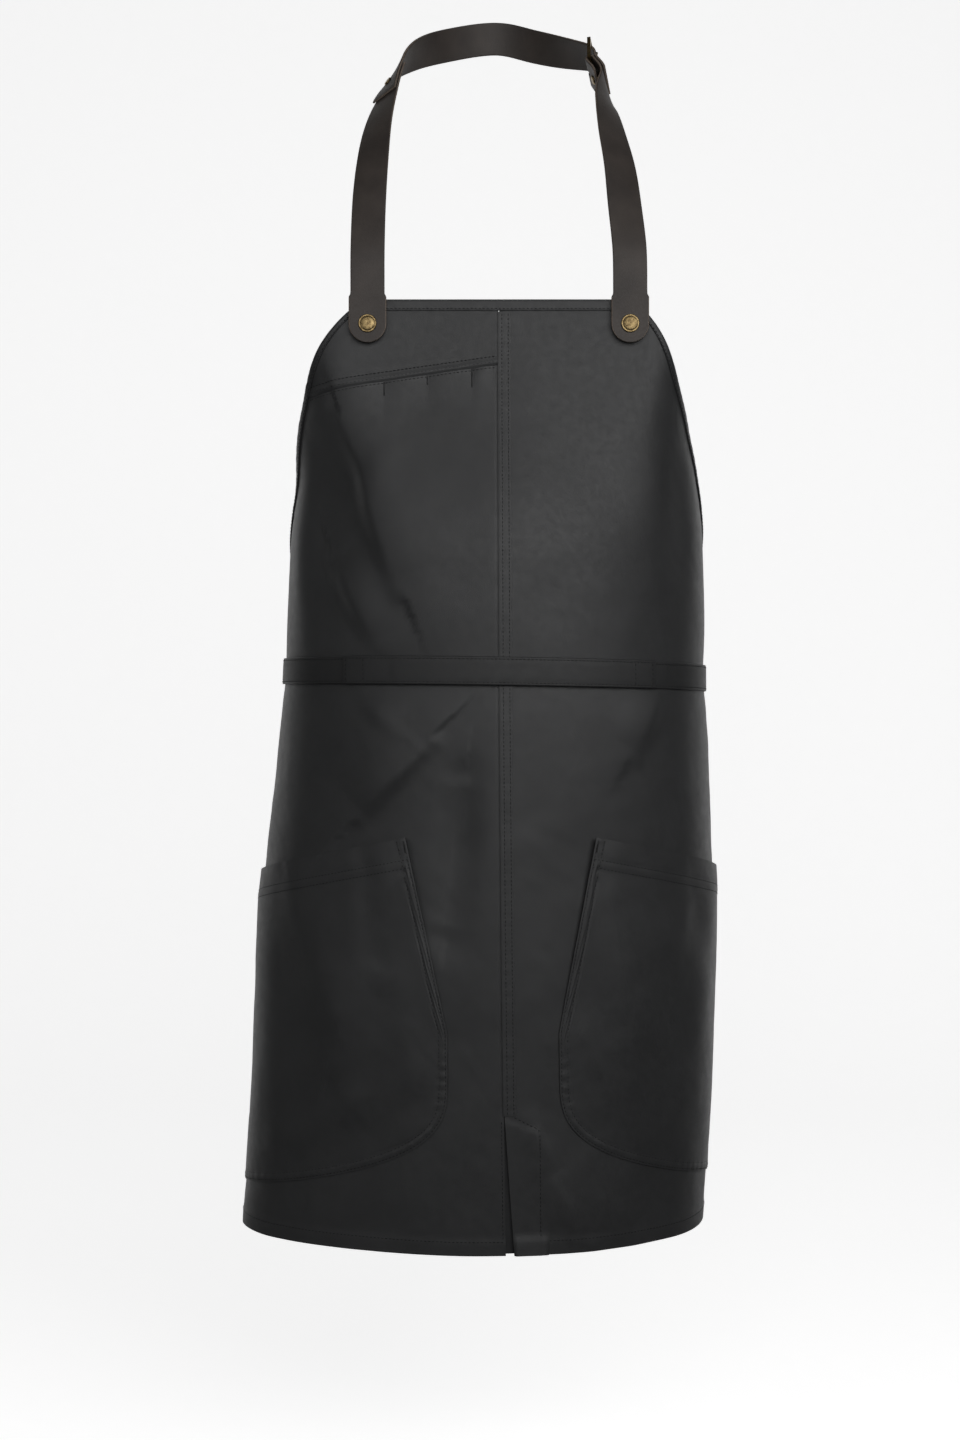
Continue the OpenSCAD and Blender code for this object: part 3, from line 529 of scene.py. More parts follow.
def panel(side):
    step, count = 2.6, 130
    if side > 0:
        zs = rows_between(0, BODY_H, step)
        fan = []
    else:
        zs = rows_between(0, MOUTH_END_Z - 6, step)
        fan = np.linspace(0, 1, 13)[1:]
    z_in = np.concatenate((zs, [mix(MOUTH_END_Z - 6, MOUTH_Z, t) for t in fan]))
    z_out = np.concatenate((zs, [MOUTH_END_Z - 6 * (1 - t) for t in fan]))
    near = vent_edge(z_in, side)
    far = side * (edge(z_out) - EDGE_GAP)
    f = column_fractions(count)[:, None]
    u, z = mix(near, far, f), mix(z_in, z_out, f)
    if side < 0:
        u, z = u[::-1], z[::-1]
    h = panel_relief(u, z, side)
    node = "panel_left" if side < 0 else "panel_right"
    outer, inner = skin(u, z, h), skin(u, z, h - CLOTH_T)
    # the panel's rim faces take the painted shadow material: a dark line painted along its edges and the
    # pocket mouth
    obj = shell(node + "_cloth", outer, inner, np.stack((u, z), -1), [CLOTH, SHADOW], 1)
    return on_apron(obj, "coated_cloth", node)


def yoke():
    behind = -CLOTH_T - GAP
    f = np.linspace(1, 0, 60)[:, None]
    zm = mouth(f * (edge(np.float64(MOUTH_END_Z)) - EDGE_GAP) + GAP)
    drops = np.concatenate((np.linspace(-BIB_POCKET_DEPTH, -4, 40), [-2, 0.4]))
    low = zm + drops
    rise = np.linspace(0, 1, 22)
    high = mix(zm + 2.2, BODY_H, rise)
    z = np.concatenate((low, high), 1)
    u = -(f * (edge(z) - EDGE_GAP) + GAP)
    off = np.where(z < zm + 1, behind, 0) + 0 * u
    # a raised welt lies above the mouth, with a sewn groove over it
    above = z - zm
    welt = 0.3 - 0.9 * np.exp(-(((above - 8.2) / 1.1) ** 2)) - 0.3 * ease((above - 8) / 1.5)
    h = relief(u, z) + np.where(above > 1, welt, 0)
    outer, inner = skin(u, z, off + h), skin(u, z, off + h - CLOTH_T)
    obj = shell("bib_yoke_cloth", outer, inner, np.stack((u, z), -1), [CLOTH])
    return on_apron(obj, "coated_cloth", "bib_yoke")


def crowned(x, width, drop=0.35, edge_w=1.0):
    """How far a sewn band's face drops toward its two edges."""
    d = np.minimum(x, width - x)
    return -drop * np.exp(-d / edge_w)


def lap_height(x):
    """The lap stands on the seam's turned edge and comes down to the cloth x mm across."""
    return mix(1.2, 0.62, x / LAP_W)


def seam_lap():
    z = rows_between(VENT_H + 2, BODY_H - TOP_HEM_H - 1, 2.4)
    x = np.array([0, 0.5, 1.4, 2.6, 3.6, 5.5, 7.8, 9.0, 10, 10.6, LAP_W])[:, None]
    grooves = 0.16 * np.exp(-((x - 3.6) / 0.9) ** 2) + 0.16 * np.exp(-((x - 9) / 0.9) ** 2)
    pucker = 0.10 * np.sin(z / 1.35 + 3 * lattice(0 * z, z, 22, 21)) * np.sin(math.pi * x / LAP_W)
    off = lap_height(x) + crowned(x, LAP_W, 0.2, 0.6) - grooves + pucker
    obj = layer("centre_seam_lap_cloth", x - 1, z, off, off - 0.15, CLOTH)
    return on_apron(obj, "coated_cloth", "centre_seam_lap")


def top_hem():
    lo = BODY_H - TOP_HEM_H
    z = np.concatenate((np.linspace(lo, lo + 3, 6), np.linspace(lo + 4.2, BODY_H, 6)))[None]
    t = np.linspace(-1, 1, 110)[:, None]
    u = t * (edge(z) - BINDING_W - 2 * GAP)
    pucker = 0.10 * np.sin(u / 1.6) * np.exp(-((z - lo - 1.6) / 2) ** 2)
    off = GAP + 1 + crowned(z - lo, TOP_HEM_H, 0.45, 0.9) + pucker
    obj = layer("bib_top_hem_cloth", u, z, off, 1, TRIM)
    return on_apron(obj, "trim_cloth", "bib_top_hem")


def binding(side, depth):
    """A tape folded over the armhole edge."""
    zs = rows_between(CORNER_Z, BODY_H, 2.4)
    face, front, back = 2 * GAP, 2 * GAP + 1, -CLOTH_T - GAP - depth
    mid = (front + back - 1) / 2
    w = BINDING_W
    loop = np.array([
        [w, front - 0.45], [w - 0.5, front - 0.1], [w - 1.4, front - 0.12], [w * 0.5, front + 0.1],
        [1.1, front], [0.3, front - 0.6], [0, mid], [0.3, back - 0.5], [1.1, back - 1], [w, back - 1],
        [w, back], [1, back], [1, face], [w, face]])
    m = len(loop)
    u = side * (edge(zs)[:, None] - loop[None, :, 0])
    z = np.repeat(zs[:, None], m, 1)
    ripple = 0.12 * np.sin(z / 1.3 + 2 * lattice(u, z, 25, 31)) * (loop[None, :, 0] < 6)
    pts = skin(u, z, loop[None, :, 1] + relief(u, z) + ripple)
    r, c = np.meshgrid(np.arange(len(zs) - 1), np.arange(m), indexing="ij")
    a, b = r * m + c, r * m + (c + 1) % m
    quads = np.stack((a, a + m, b + m, b), -1).reshape(-1, 4)
    if side < 0:
        quads = quads[:, ::-1]
    first, last = list(range(m)), [(len(zs) - 1) * m + i for i in range(m)]
    caps = [first, last[::-1]] if side > 0 else [first[::-1], last]
    name = "armhole_binding_" + ("left" if side < 0 else "right")
    along = np.concatenate(([0], np.cumsum(np.hypot(*np.diff(loop, axis=0).T))))
    uv = np.stack((np.broadcast_to(along, z.shape), z), -1)
    obj = mesh_piece(name + "_tape", pts, quads.tolist() + caps, uv, [TRIM])
    return on_apron(obj, "trim_cloth", name)


def strip(name, near, far, zs, count, node):
    """A turned hem or facing behind the panel, between two edges given for each height."""
    f = np.linspace(0, 1, count)[:, None]
    u = mix(near, far, f)
    if u[0, 0] > u[-1, 0]:
        u = u[::-1]
    side = np.sign(u.mean())
    hem = 0.45 * ease((HEM_H + 1.2 - zs) / 2.4)
    obj = layer(name, u, zs + 0 * u, -CLOTH_T - GAP + hem - 0.1, 0.8, TRIM)
    return on_apron(obj, "trim_cloth", node)


def hems():
    made = {}
    for side, word in ((-1, "left"), (1, "right")):
        zs = rows_between(HEM_H + 2, CORNER_Z - 2, 3)
        a, b = side * (edge(zs) - SIDE_HEM_W), side * (edge(zs) - EDGE_GAP)
        side_hem = strip("side_hem_%s_cloth" % word, a, b, zs, 5, "side_hem_" + word)
        zs = np.linspace(0.5, HEM_H, 6)
        a, b = vent_edge(zs, side) + side, side * (edge(zs) - EDGE_GAP)
        bottom = strip("bottom_hem_%s_cloth" % word, a, b, zs, 150, "bottom_hem_" + word)
        zs = rows_between(HEM_H + 1, VENT_H - 3, 3)
        a, b = vent_edge(zs, side) + side * GAP, side * FACING_W + 0 * zs
        facing = strip("vent_facing_%s_cloth" % word, a, b, zs, 10, "vent_facing_" + word)
        made[side] = [side_hem, bottom, facing]
    zs = rows_between(1, VENT_H + 3, 3)
    under = layer("vent_underlap_cloth", np.linspace(-UNDERLAP_BACK, UNDERLAP_W, 12)[:, None], zs[None],
                  -CLOTH_T - 1 - 2 * GAP, 1, TRIM)
    made[-1].append(on_apron(under, "trim_cloth", "vent_underlap"))
    return made


# ---- Hip pockets ----
def pocket_hi(u):
    sloped = mix(POCKET_ROUND_Z + 34, POCKET_TOP_Z, (u - POCKET_IN) / (POCKET_CORNER - POCKET_IN))
    return np.where(u < POCKET_CORNER, sloped, POCKET_TOP_Z - POCKET_SLOPE * (u - POCKET_CORNER))


def pocket_lo(u):
    t = np.clip((u - POCKET_IN) / (POCKET_OUT - POCKET_IN), 0, 1)
    return POCKET_ROUND_Z - (POCKET_ROUND_Z - POCKET_FOOT_Z) * t**0.29


def pocket_lift(u, z):
    t = np.clip((u - POCKET_IN) / (POCKET_OUT - POCKET_IN), 0, 1)
    open_share = ease(1.15 * (z - pocket_lo(u)) / (POCKET_TOP_Z - POCKET_FOOT_Z))
    settled = mix(0.62, 0.3, ease((u - 120) / 60))
    return settled * POCKET_BULGE * np.clip(np.sin(math.pi * t**0.8), 0, 1) ** 0.5 * open_share


def pocket_edge():
    """The sewn edge, from the upper inner corner down and round to the outer end."""
    u = POCKET_IN + (POCKET_OUT - POCKET_IN) * np.linspace(0, 1, 90) ** 2.2
    low = np.stack((u, pocket_lo(u)), -1)
    return np.concatenate(([[POCKET_CORNER, POCKET_TOP_Z], [POCKET_IN, POCKET_ROUND_Z + 34]], low))


def inset(points, by):
    """The line moved to its left, toward the inside of the pocket."""
    p = along_line(points, 2.0)
    t = np.gradient(p, axis=0)
    for _ in range(6):
        t[1:-1] = (t[:-2] + 2 * t[1:-1] + t[2:]) / 4
    t /= np.linalg.norm(t, axis=1, keepdims=True)
    return p + by * np.stack((-t[:, 1], t[:, 0]), -1)


def line_distance(u, z, points):
    p = along_line(points, 4.0)
    best, where = np.full(u.shape, 1e9), np.zeros(u.shape)
    run = 0.0
    for a, b in zip(p[:-1], p[1:]):
        d = b - a
        length = math.hypot(*d)
        t = np.clip(((u - a[0]) * d[0] + (z - a[1]) * d[1]) / length**2, 0, 1)
        dist = np.hypot(u - a[0] - t * d[0], z - a[1] - t * d[1])
        near = dist < best
        best, where = np.where(near, dist, best), np.where(near, run + t * length, where)
        run += length
    return best, where


POCKET_EDGE = pocket_edge()
POCKET_FOLDS = {
    -1: [[96, 316, 150, 160, 16, 26, 1.5], [190, 300, 150, 200, 26, 18, 1.3],
         [118, 338, 108, 250, 12, 10, -1.0], [92, 230, 78, 150, 14, 12, 0.8],
         [130, 120, 210, 78, 12, 16, 0.9]],
    1: [[88, 330, 108, 210, 12, 22, 1.2], [180, 306, 206, 240, 16, 20, -1.2],
        [150, 250, 110, 150, 26, 26, 1.3], [70, 180, 120, 90, 10, 16, 0.8],
        [224, 300, 190, 180, 18, 16, 1.0]],
}


def pocket_face(u, z, side):
    """Offset of the pocket's outer face from the worn cloth, for u measured outward."""
    dist, run = line_distance(u, z, POCKET_EDGE)
    below = pocket_hi(u) - z
    h = POCKET_GAP + 1 + pocket_lift(u, z)
    h = h - 0.35 * np.exp(-dist / 0.8)
    near_row, far_row = POCKET_ROWS
    h = h - 0.3 * np.exp(-(((dist - near_row) / 0.7) ** 2)) - 0.42 * np.exp(-(((dist - far_row) / 0.9) ** 2))
    pucker = 0.30 * np.sin(run / 1.45 + 2.5 * lattice(run, 0 * run, 26, 41 + side))
    h = h + pucker * np.exp(-(((dist - 4.5) / 4) ** 2)) * 0.6 + 0.25 * np.exp(-(((dist - 4.4) / 1.8) ** 2))
    on_mouth = np.where(u > POCKET_CORNER, 1.0, ease((u - POCKET_CORNER + 8) / 8))
    hem = ease((MOUTH_ROWS[1] - below) / 1.6) * on_mouth
    h = h + 0.4 * hem - 0.3 * np.exp(-(((below - MOUTH_ROWS[0]) / 1.2) ** 2)) * on_mouth
    inside = ease(dist / 26) * ease((POCKET_OUT - u) / 22)
    for u0, z0, u1, z1, wl, wr, height in POCKET_FOLDS[side]:
        du, dz = u1 - u0, z1 - z0
        length = math.hypot(du, dz)
        t = np.clip(((u - u0) * du + (z - z0) * dz) / length**2, 0, 1)
        across = ((u - u0) * dz - (z - z0) * du) / length
        far = np.hypot(u - u0 - t * du, z - z0 - t * dz)
        width = np.where(across > 0, wl, wr)
        h = h + height * inside * np.exp(-((far / width) ** 2))
    return h


def hip_pocket(side):
    near = np.array([0, 0.3, 0.8, 1.6, 2.6, 4, 6, 8, 10.5, 13, 15.5, 18, 20.5, 23, 25.5, 28, 30.5])
    us = np.concatenate((POCKET_IN + near, np.linspace(POCKET_CORNER, POCKET_OUT, 92)))
    f = np.linspace(0, 1, 96)
    f = 0.72 * f + 0.28 * (0.5 - 0.5 * np.cos(math.pi * f))
    u = np.repeat(us[:, None], len(f), 1)
    z = mix(pocket_lo(u), pocket_hi(u), f[None])
    off = pocket_face(u, z, side)
    if side < 0:
        u, z, off = u[::-1], z[::-1], off[::-1]
    obj = layer("hip_pocket_%s_cloth" % ("left" if side < 0 else "right"), side * u, z, off, 1, CLOTH)
    return on_apron(obj, "coated_cloth", "hip_pocket_left" if side < 0 else "hip_pocket_right")


def pocket_stitches(side):
    off = lambda u, z: pocket_face(np.abs(u), z, side)
    flip = np.array([side, 1])
    runs = [stitch_run((inset(POCKET_EDGE, row)[2:-2]) * flip, off) for row in POCKET_ROWS]
    outer_u, outer_top = POCKET_OUT - POCKET_ROWS[0], float(pocket_hi(np.float64(POCKET_OUT)))
    runs.append(stitch_run(np.array([[outer_u, POCKET_FOOT_Z + 2], [outer_u, outer_top - 2]]) * flip, off))
    for drop in MOUTH_ROWS:
        u = np.linspace(POCKET_CORNER - (drop - 4) * 0.2, POCKET_OUT - 3, 60)
        z = POCKET_TOP_Z - POCKET_SLOPE * np.clip(u - POCKET_CORNER, -20, None) - drop
        runs.append(stitch_run(np.stack((u, z), -1) * flip, off))
    runs.append(bartack(side * (POCKET_CORNER + 1.5), POCKET_TOP_Z - 3, -side * 1.6, -9, off, 2.2))
    runs.append(bartack(side * (POCKET_CORNER + 7), POCKET_TOP_Z - 3.5, -side * 1.4, -7, off, 1.6))
    return stitches("hip_pocket_stitches_" + ("left" if side < 0 else "right"), runs)


# ---- Belt ----
def waist_round():
    b, q, r2, r1 = section(BELT_Z)
    return 2 * r1 * TURN + r2 * (math.pi - 2 * TURN)


WAIST_HALF = waist_round()
WAIST_SHIFT = SEAM_SWAY * (1 - BELT_Z / BODY_H) ** 2


def belt_lower(u):
    return BELT_Z - BELT_TILT * np.sin(math.pi * u / (2 * WAIST_HALF)) * 2 * WAIST_HALF / math.pi


def belt_relief(u, z):
    """A firm band smooths the folds under it, so it takes its height from its middle line."""
    return relief(u, belt_lower(u) + BELT_H / 2)


def belt_sway(u):
    return 0.25 * lattice(u, 0 * u, 34, 51)


def belt_band(name, u0, u1, back, height, node, rise=None):
    """back is the offset of the band's inner face from the cloth."""
    u = rows_between(u0, u1, 3.0)[:, None]
    x = np.array([0, 0.35, 0.9, 1.8, 2.6, 4, 8, 12, 16, 20, 21.4, 22.2, 23.1, 23.65, 24]) * height / 24
    z = belt_lower(u) + x
    inward = np.minimum(x, height - x)
    body = BELT_T - 0.55 * np.exp(-inward / 0.45) - 0.2 * np.exp(-((inward - BELT_ROW) / 0.8) ** 2)
    ends = np.minimum(u - u[0], u[-1] - u)
    h = belt_relief(u, z) + back + (rise(u) if rise else 0)
    sway = belt_sway(u)
    outer = skin(u + 0 * x, z, h + body - 0.35 * np.exp(-ends / 0.6) + sway)
    inner = skin(u + 0 * x, z, h + sway * 0.5)
    obj = shell(name + "_band", outer, inner, np.stack((u + 0 * x, z), -1), [WEBBING])
    return on_apron(obj, "trim_cloth", node)


def belt_stitches():
    sunk = 0.12
    over_folds = lambda u, z: belt_relief(u, z) - relief(u, z) + belt_sway(u) - sunk
    off = lambda u, z: BELT_GAP + 2 * BELT_T + GAP + over_folds(u, z)
    side_off = lambda u, z: BELT_GAP + BELT_T + over_folds(u, z)
    runs = []
    for x in (BELT_ROW, BELT_H - BELT_ROW):
        u = np.linspace(2 - BELT_FRONT_HALF, BELT_FRONT_HALF - 2, 90)
        runs.append(stitch_run(np.stack((u, belt_lower(u) + x), -1), off))
        for side in (-1, 1):
            u = side * np.linspace(BELT_FRONT_HALF + 1, 330, 90)
            runs.append(stitch_run(np.stack((u, belt_lower(u) + x * (BELT_H - 1) / BELT_H), -1), side_off))
    for side in (-1, 1):
        u = side * (BELT_FRONT_HALF - 3)
        z = float(belt_lower(np.float64(u)))
        runs.append(stitch_run([[u, z + BELT_ROW], [u, z + BELT_H - BELT_ROW]], off))
        u2 = side * (BELT_FRONT_HALF - BELT_TUCK + 4)
        runs.append(stitch_run([[u2, z + BELT_ROW], [u2, z + BELT_H - BELT_ROW]], off))
    return stitches("belt_stitches", runs)


def belt():
    out = BELT_GAP + BELT_T + GAP
    front = belt_band("belt_front", -BELT_FRONT_HALF, BELT_FRONT_HALF, out, BELT_H, "belt_front")
    tuck = BELT_FRONT_HALF - BELT_TUCK
    left = belt_band("belt_side_left", -WAIST_HALF - WAIST_SHIFT - BELT_LAP / 2, -tuck, BELT_GAP, BELT_H - 1,
                     "belt_side_left")
    end = WAIST_HALF - WAIST_SHIFT + BELT_LAP / 2
    over = lambda u: (BELT_T + 1.4) * ease((u - end + BELT_LAP + 60) / 50)
    right = belt_band("belt_side_right", tuck, end, BELT_GAP, BELT_H - 1, "belt_side_right", over)
    return front, left, right


# ---- Leather ----
BUCKLE_AT, BUCKLE_DIR = np.array([86, 121, 229.0]), np.array([0.3, -0.62, -0.725])
BUCKLE_INNER, STATION_STEP = [-0.24, -0.78, 0.57], 22.0
ROUTE = [
    [[-SNAP_X, TAB_MID, FOLD_UP + 0.4], [1, 0, 0]], [[-SNAP_X, 22.5, 43], [1, 0, 0]],
    [[-111, 36, 86], [1, -0.1, 0]], [[-109, 54, 128], [0.95, -0.3, 0.05]],
    [[-106, 76, 165], [0.85, -0.5, 0.15]], [[-100, 97, 196], [0.7, -0.65, 0.25]],
    [[-91, 117, 223], [0.5, -0.72, 0.48]], [[-76, 143, 251], [0.15, -0.62, 0.77]],
    [[-43, 175, 273], [-0.1, -0.4, 0.9]], [[0, 190, 284], [0, -0.25, 0.97]],
    [[36, 178, 272], [0.1, -0.4, 0.9]], [list(BUCKLE_AT - STATION_STEP * BUCKLE_DIR), BUCKLE_INNER],
    [list(BUCKLE_AT), BUCKLE_INNER], [list(BUCKLE_AT + STATION_STEP * BUCKLE_DIR), BUCKLE_INNER],
    [[96, 87, 188], [-0.65, -0.68, 0.25]], [[100, 69, 156], [-0.85, -0.5, 0.1]],
    [[105, 50, 120], [-0.95, -0.3, 0.05]], [[108, 34, 82], [-1, -0.1, 0]],
    [[SNAP_X - 0.5, 22.5, 43], [-1, 0, 0]], [[SNAP_X, TAB_MID, FOLD_UP + 0.4], [-1, 0, 0]],
]
LAST = len(ROUTE) - 1
BAR_STATION, LAP_OFF = 12, -2.8
LEFT_END, NAPE_FROM, NAPE_TO = 6.1, 5.05, 12.95
PALE_FRAMES = 34
FOLD_OFF = WIRE_D / 2 + BUCKLE_GAP + STRAP_T / 2
OVER_OFF = -(FOLD_OFF + STRAP_T + 0.3)


def on_route(t, k):
    i = int(min(LAST - 1, max(0, math.floor(t))))
    a, b, c, d = (np.array(ROUTE[min(LAST, max(0, j))][k], float) for j in (i - 1, i, i + 1, i + 2))
    t -= i
    return 0.5 * (2 * b + (c - a) * t + (2 * a - 5 * b + 4 * c - d) * t * t + (3 * b - a - 3 * c + d) * t**3)


def strap_frame(t):
    """Centre in mm in the row frame, inner-edge direction, inward normal and forward direction."""
    unit = lambda v: v / np.linalg.norm(v)
    p = on_route(t, 0)
    f = unit(on_route(min(LAST, t + 0.02), 0) - on_route(max(0, t - 0.02), 0))
    w = on_route(t, 1)
    w = unit(w - f * (w @ f))
    return place(p[0], p[1], p[2] + BODY_H) / MM, w, np.cross(f, w), f


def run_frames(t0, t1, shift, per=14):
    frames = []
    for t in np.linspace(t0, t1, int(math.ceil((t1 - t0) * per)) + 1):
        c, w, n, _ = strap_frame(t)
        frames.append((c + shift(t) * n, w, n, STRAP_W / 2))
    return frames


def tab_frames(side):
    """From the bottom of the round snap tab up to the fold, as [centre, across, normal, half width]."""
    frames = []
    w = np.array([-side, 0, 0.0])
    n = np.array([0, 1.0, 0])
    r = TAB_W / 2
    heights = [SNAP_Z - r * math.cos(a) for a in np.linspace(0.06, math.pi / 2, 26)]
    heights += list(np.linspace(SNAP_Z + 2, SNAP_Z + SNAP_DROP + FOLD_UP - 7, 9))
    heights += [SNAP_Z + SNAP_DROP + FOLD_UP - 5.8, SNAP_Z + SNAP_DROP + FOLD_UP - 4.5, FOLD_Z - 2.4, FOLD_Z]
    for z in heights:
        half = math.sqrt(max(0.5, r * r - min(0, z - SNAP_Z) ** 2))
        half = mix(half, STRAP_W / 2, float(ease((z - FOLD_Z + 7.2) / 3.4)))
        frames.append((place(side * SNAP_X, TAB_MID, z) / MM, w, n, half))
    return frames


def leather_piece(name, frames, wobble=0.0, tab=None):
    """A leather strap with round edges; tab is the slice of frames with a pale cut edge line."""
    c = np.array([f[0] for f in frames])
    w = np.array([f[1] for f in frames])
    n = np.array([f[2] for f in frames])
    half = np.array([f[3] for f in frames])
    x = np.array([-1, -0.985, -0.955, -0.9, -0.8, -0.55, -0.25, 0, 0.25, 0.55, 0.8, 0.9, 0.955, 0.985, 1])
    run = np.concatenate(([0], np.cumsum(np.linalg.norm(np.diff(c, axis=0), axis=1))))
    gap = (1 - np.abs(x))[:, None] * half[None]
    ends = np.minimum(run + 0.02, run[-1] - run + 0.02)[None]
    r = 0.8
    near = np.clip(np.minimum(gap, ends * 1.6), 0, r)
    thick = STRAP_T / 2 - r * 0.75 + 0.75 * np.sqrt(np.clip(r * r - (r - near) ** 2, 0, None))
    wave = wobble * np.sin(run / 23.0 + 1.3)[None] * (np.abs(x)[:, None] ** 2)
    base = c[None] - (x[:, None] * half[None])[..., None] * w[None]
    outer = base - (thick + wave)[..., None] * n[None]
    inner = base + (thick - wave)[..., None] * n[None]
    uv = np.stack((x[:, None] * half[None], np.broadcast_to(run, gap.shape)), -1)
    obj = shell(name, outer * MM, inner * MM, uv, [LEATHER, RIM], 1)
    if tab:
        n, m = len(x), len(frames)
        index = np.zeros(len(obj.data.polygons), np.int32)
        obj.data.polygons.foreach_get("material_index", index)
        index[:(n - 1) * (m - 1)].reshape(n - 1, m - 1)[[0, 1, -2, -1], tab] = 1
        obj.data.polygons.foreach_set("material_index", index)
    return obj


def cut(obj, centre, axes, size):
    """Cuts a box-shaped slot, given by its centre, three axes and full sizes in mm."""
    corners = [[sx, sy, sz] for sx in (-0.5, 0.5) for sy in (-0.5, 0.5) for sz in (-0.5, 0.5)]
    verts = [(centre + sum(k * s * a for k, s, a in zip(p, size, axes))) * MM for p in corners]
    faces = [[0, 1, 3, 2], [4, 6, 7, 5], [0, 4, 5, 1], [2, 3, 7, 6], [0, 2, 6, 4], [1, 5, 7, 3]]
    if np.cross(axes[0], axes[1]) @ axes[2] < 0:
        faces = [f[::-1] for f in faces]
    me = bpy.data.meshes.new("cutter")
    me.from_pydata([list(v) for v in verts], [], faces)
    me.materials.append(RIM)
    tool = bpy.data.objects.new("cutter", me)
    bpy.context.scene.collection.objects.link(tool)
    mod = obj.modifiers.new("slot", "BOOLEAN")
    mod.object, mod.operation, mod.solver = tool, "DIFFERENCE", "EXACT"
    bpy.context.view_layer.update()
    done = bpy.data.meshes.new_from_object(obj.evaluated_get(bpy.context.evaluated_depsgraph_get()))
    obj.modifiers.clear()
    obj.data = done
    bpy.data.objects.remove(tool)
    return obj


def nape_off(t):
    if t < 9:
        return LAP_OFF * (1 - float(ease((t - 6.2) / 0.9)))
    return OVER_OFF * float(ease((t - 10.2) / 1.4))


def straps():
    frames = tab_frames(-1) + run_frames(0, LEFT_END, lambda t: 0)
    left = leather_piece("strap_left_leather", frames, 0.25, slice(0, PALE_FRAMES))
    nape = leather_piece("strap_nape_leather", run_frames(NAPE_FROM, NAPE_TO, nape_off))
    tail = run_frames(BAR_STATION + 0.05, NAPE_TO, lambda t: FOLD_OFF)[::-1]
    main = run_frames(BAR_STATION + 0.05, LAST, lambda t: -FOLD_OFF * (1 - float(ease((t - 13) / 0.8))))
    c, w, n, f = strap_frame(BAR_STATION)
    fold = []
    for a in np.linspace(math.pi, 0, 19):
        out = math.cos(a) * n + math.sin(a) * f
        fold.append((c - FOLD_OFF * out, w, out, STRAP_W / 2))
    frames = [(p, q, -m, h) for p, q, m, h in tail] + fold + main + tab_frames(1)[::-1]
    right = leather_piece("strap_right_leather", frames, 0.2, slice(-PALE_FRAMES, None))
    cut(right, c - 2 * f, (w, n, f), (SLOT_W, 40, 12))
    cut(nape, c - (SLOT_FROM + SLOT_LEN / 2) * f, (w, n, f), (SLOT_W, 40, SLOT_LEN))
    fold_at = place(0, TAB_MID, FOLD_Z)
    for obj, strap, tab in ((left, "strap_left", "tab_left"), (right, "strap_right", "tab_right")):
        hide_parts(strap, tab)
        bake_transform(obj)
    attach(nape, "neck_strap")
    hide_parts("strap_nape")
    return left, nape, right


# ---- Metal: the CAD shapes stay, with softened edges ----
def metal():
    for name in ("snap_caps", "snap_sockets", "snap_studs", "snap_posts", "strap_rivets", "buckle_frame",
                 "buckle_prong", "belt_stud_cap", "belt_stud_post"):
        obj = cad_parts[name]
        for i in range(len(obj.data.materials)):
            obj.data.materials[i] = BRASS
        weld = obj.modifiers.new("weld", "WELD")
        weld.merge_threshold = 0.00001
        bevel = obj.modifiers.new("soft_edges", "BEVEL")
        bevel.width = 0.00035 if name == "buckle_frame" else 0.00012
        bevel.segments = 2
        bevel.limit_method = "ANGLE"
        bevel.angle_limit = math.radians(38)


# ---- Rows of topstitching ----
def seam_stitches():
    z = [VENT_H + 3, BODY_H - TOP_HEM_H - 2]
    runs = [stitch_run([[u, z[0]], [u, z[1]]], lap_height(u + 1) - 0.16) for u in (2.6, 8.0)]
    return stitches("centre_seam_stitches", runs)


def edge_stitches():
    runs = []
    top = BODY_H - TOP_HEM_H + 1.7
    reach = float(edge(np.float64(top))) - BINDING_W - 2
    u = np.linspace(-reach, reach, 60)
    runs.append(stitch_run(np.stack((u, 0 * u + top), -1), GAP + 1 - 0.08))
    for side in (-1, 1):
        z = np.linspace(CORNER_Z + 1, BODY_H - 1, 200)
        runs.append(stitch_run(np.stack((side * (edge(z) - BINDING_W + 1.4), z), -1), 2 * GAP + 1 - 0.12))
        z = np.linspace(HEM_H, CORNER_Z - 1, 100)
        runs.append(stitch_run(np.stack((side * (edge(z) - SIDE_HEM_W + 1.5), z), -1), 0))
        far = float(edge(np.float64(HEM_H))) - 3
        near = 1.5 if side < 0 else 8.5
        u = np.linspace(near, far, 120) * side
        runs.append(stitch_run(np.stack((u, 0 * u + HEM_H - 1.5), -1), 0.3))
    bend = [[1.5, VENT_H + 5], [8, VENT_H + 1], [18, VENT_H - 4], [28, VENT_H - 9], [29.5, VENT_H - 12]]
    off = lambda u, z: panel_relief(u, z, 1) - relief(u, z)
    runs.append(stitch_run(bend, off))
    runs.append(stitch_run([[29.5, VENT_H - 13], [29.5, HEM_H + 2]], off))
    runs.append(stitch_run([[-2.4, VENT_H - 2], [-2.4, HEM_H]], 0))
    return stitches("edge_stitches", runs)


def bib_pocket_stitches():
    far = -float(edge(np.float64(MOUTH_END_Z))) + 9
    u = np.linspace(far, -3, 60)
    runs = [stitch_run(np.stack((u, mouth(u) + k), -1), 0) for k in (3.6, 8.2)]
    runs.append(stitch_run(np.stack((u, mouth(u) - 1.6), -1), pen_openings))
    for tack, drop in zip(PEN_TACKS, (11, 7, 15)):
        runs.append(bartack(tack, float(mouth(np.float64(tack))) - 0.8, 0, -drop, pen_openings, 1.8))
    return stitches("bib_pocket_stitches", runs)


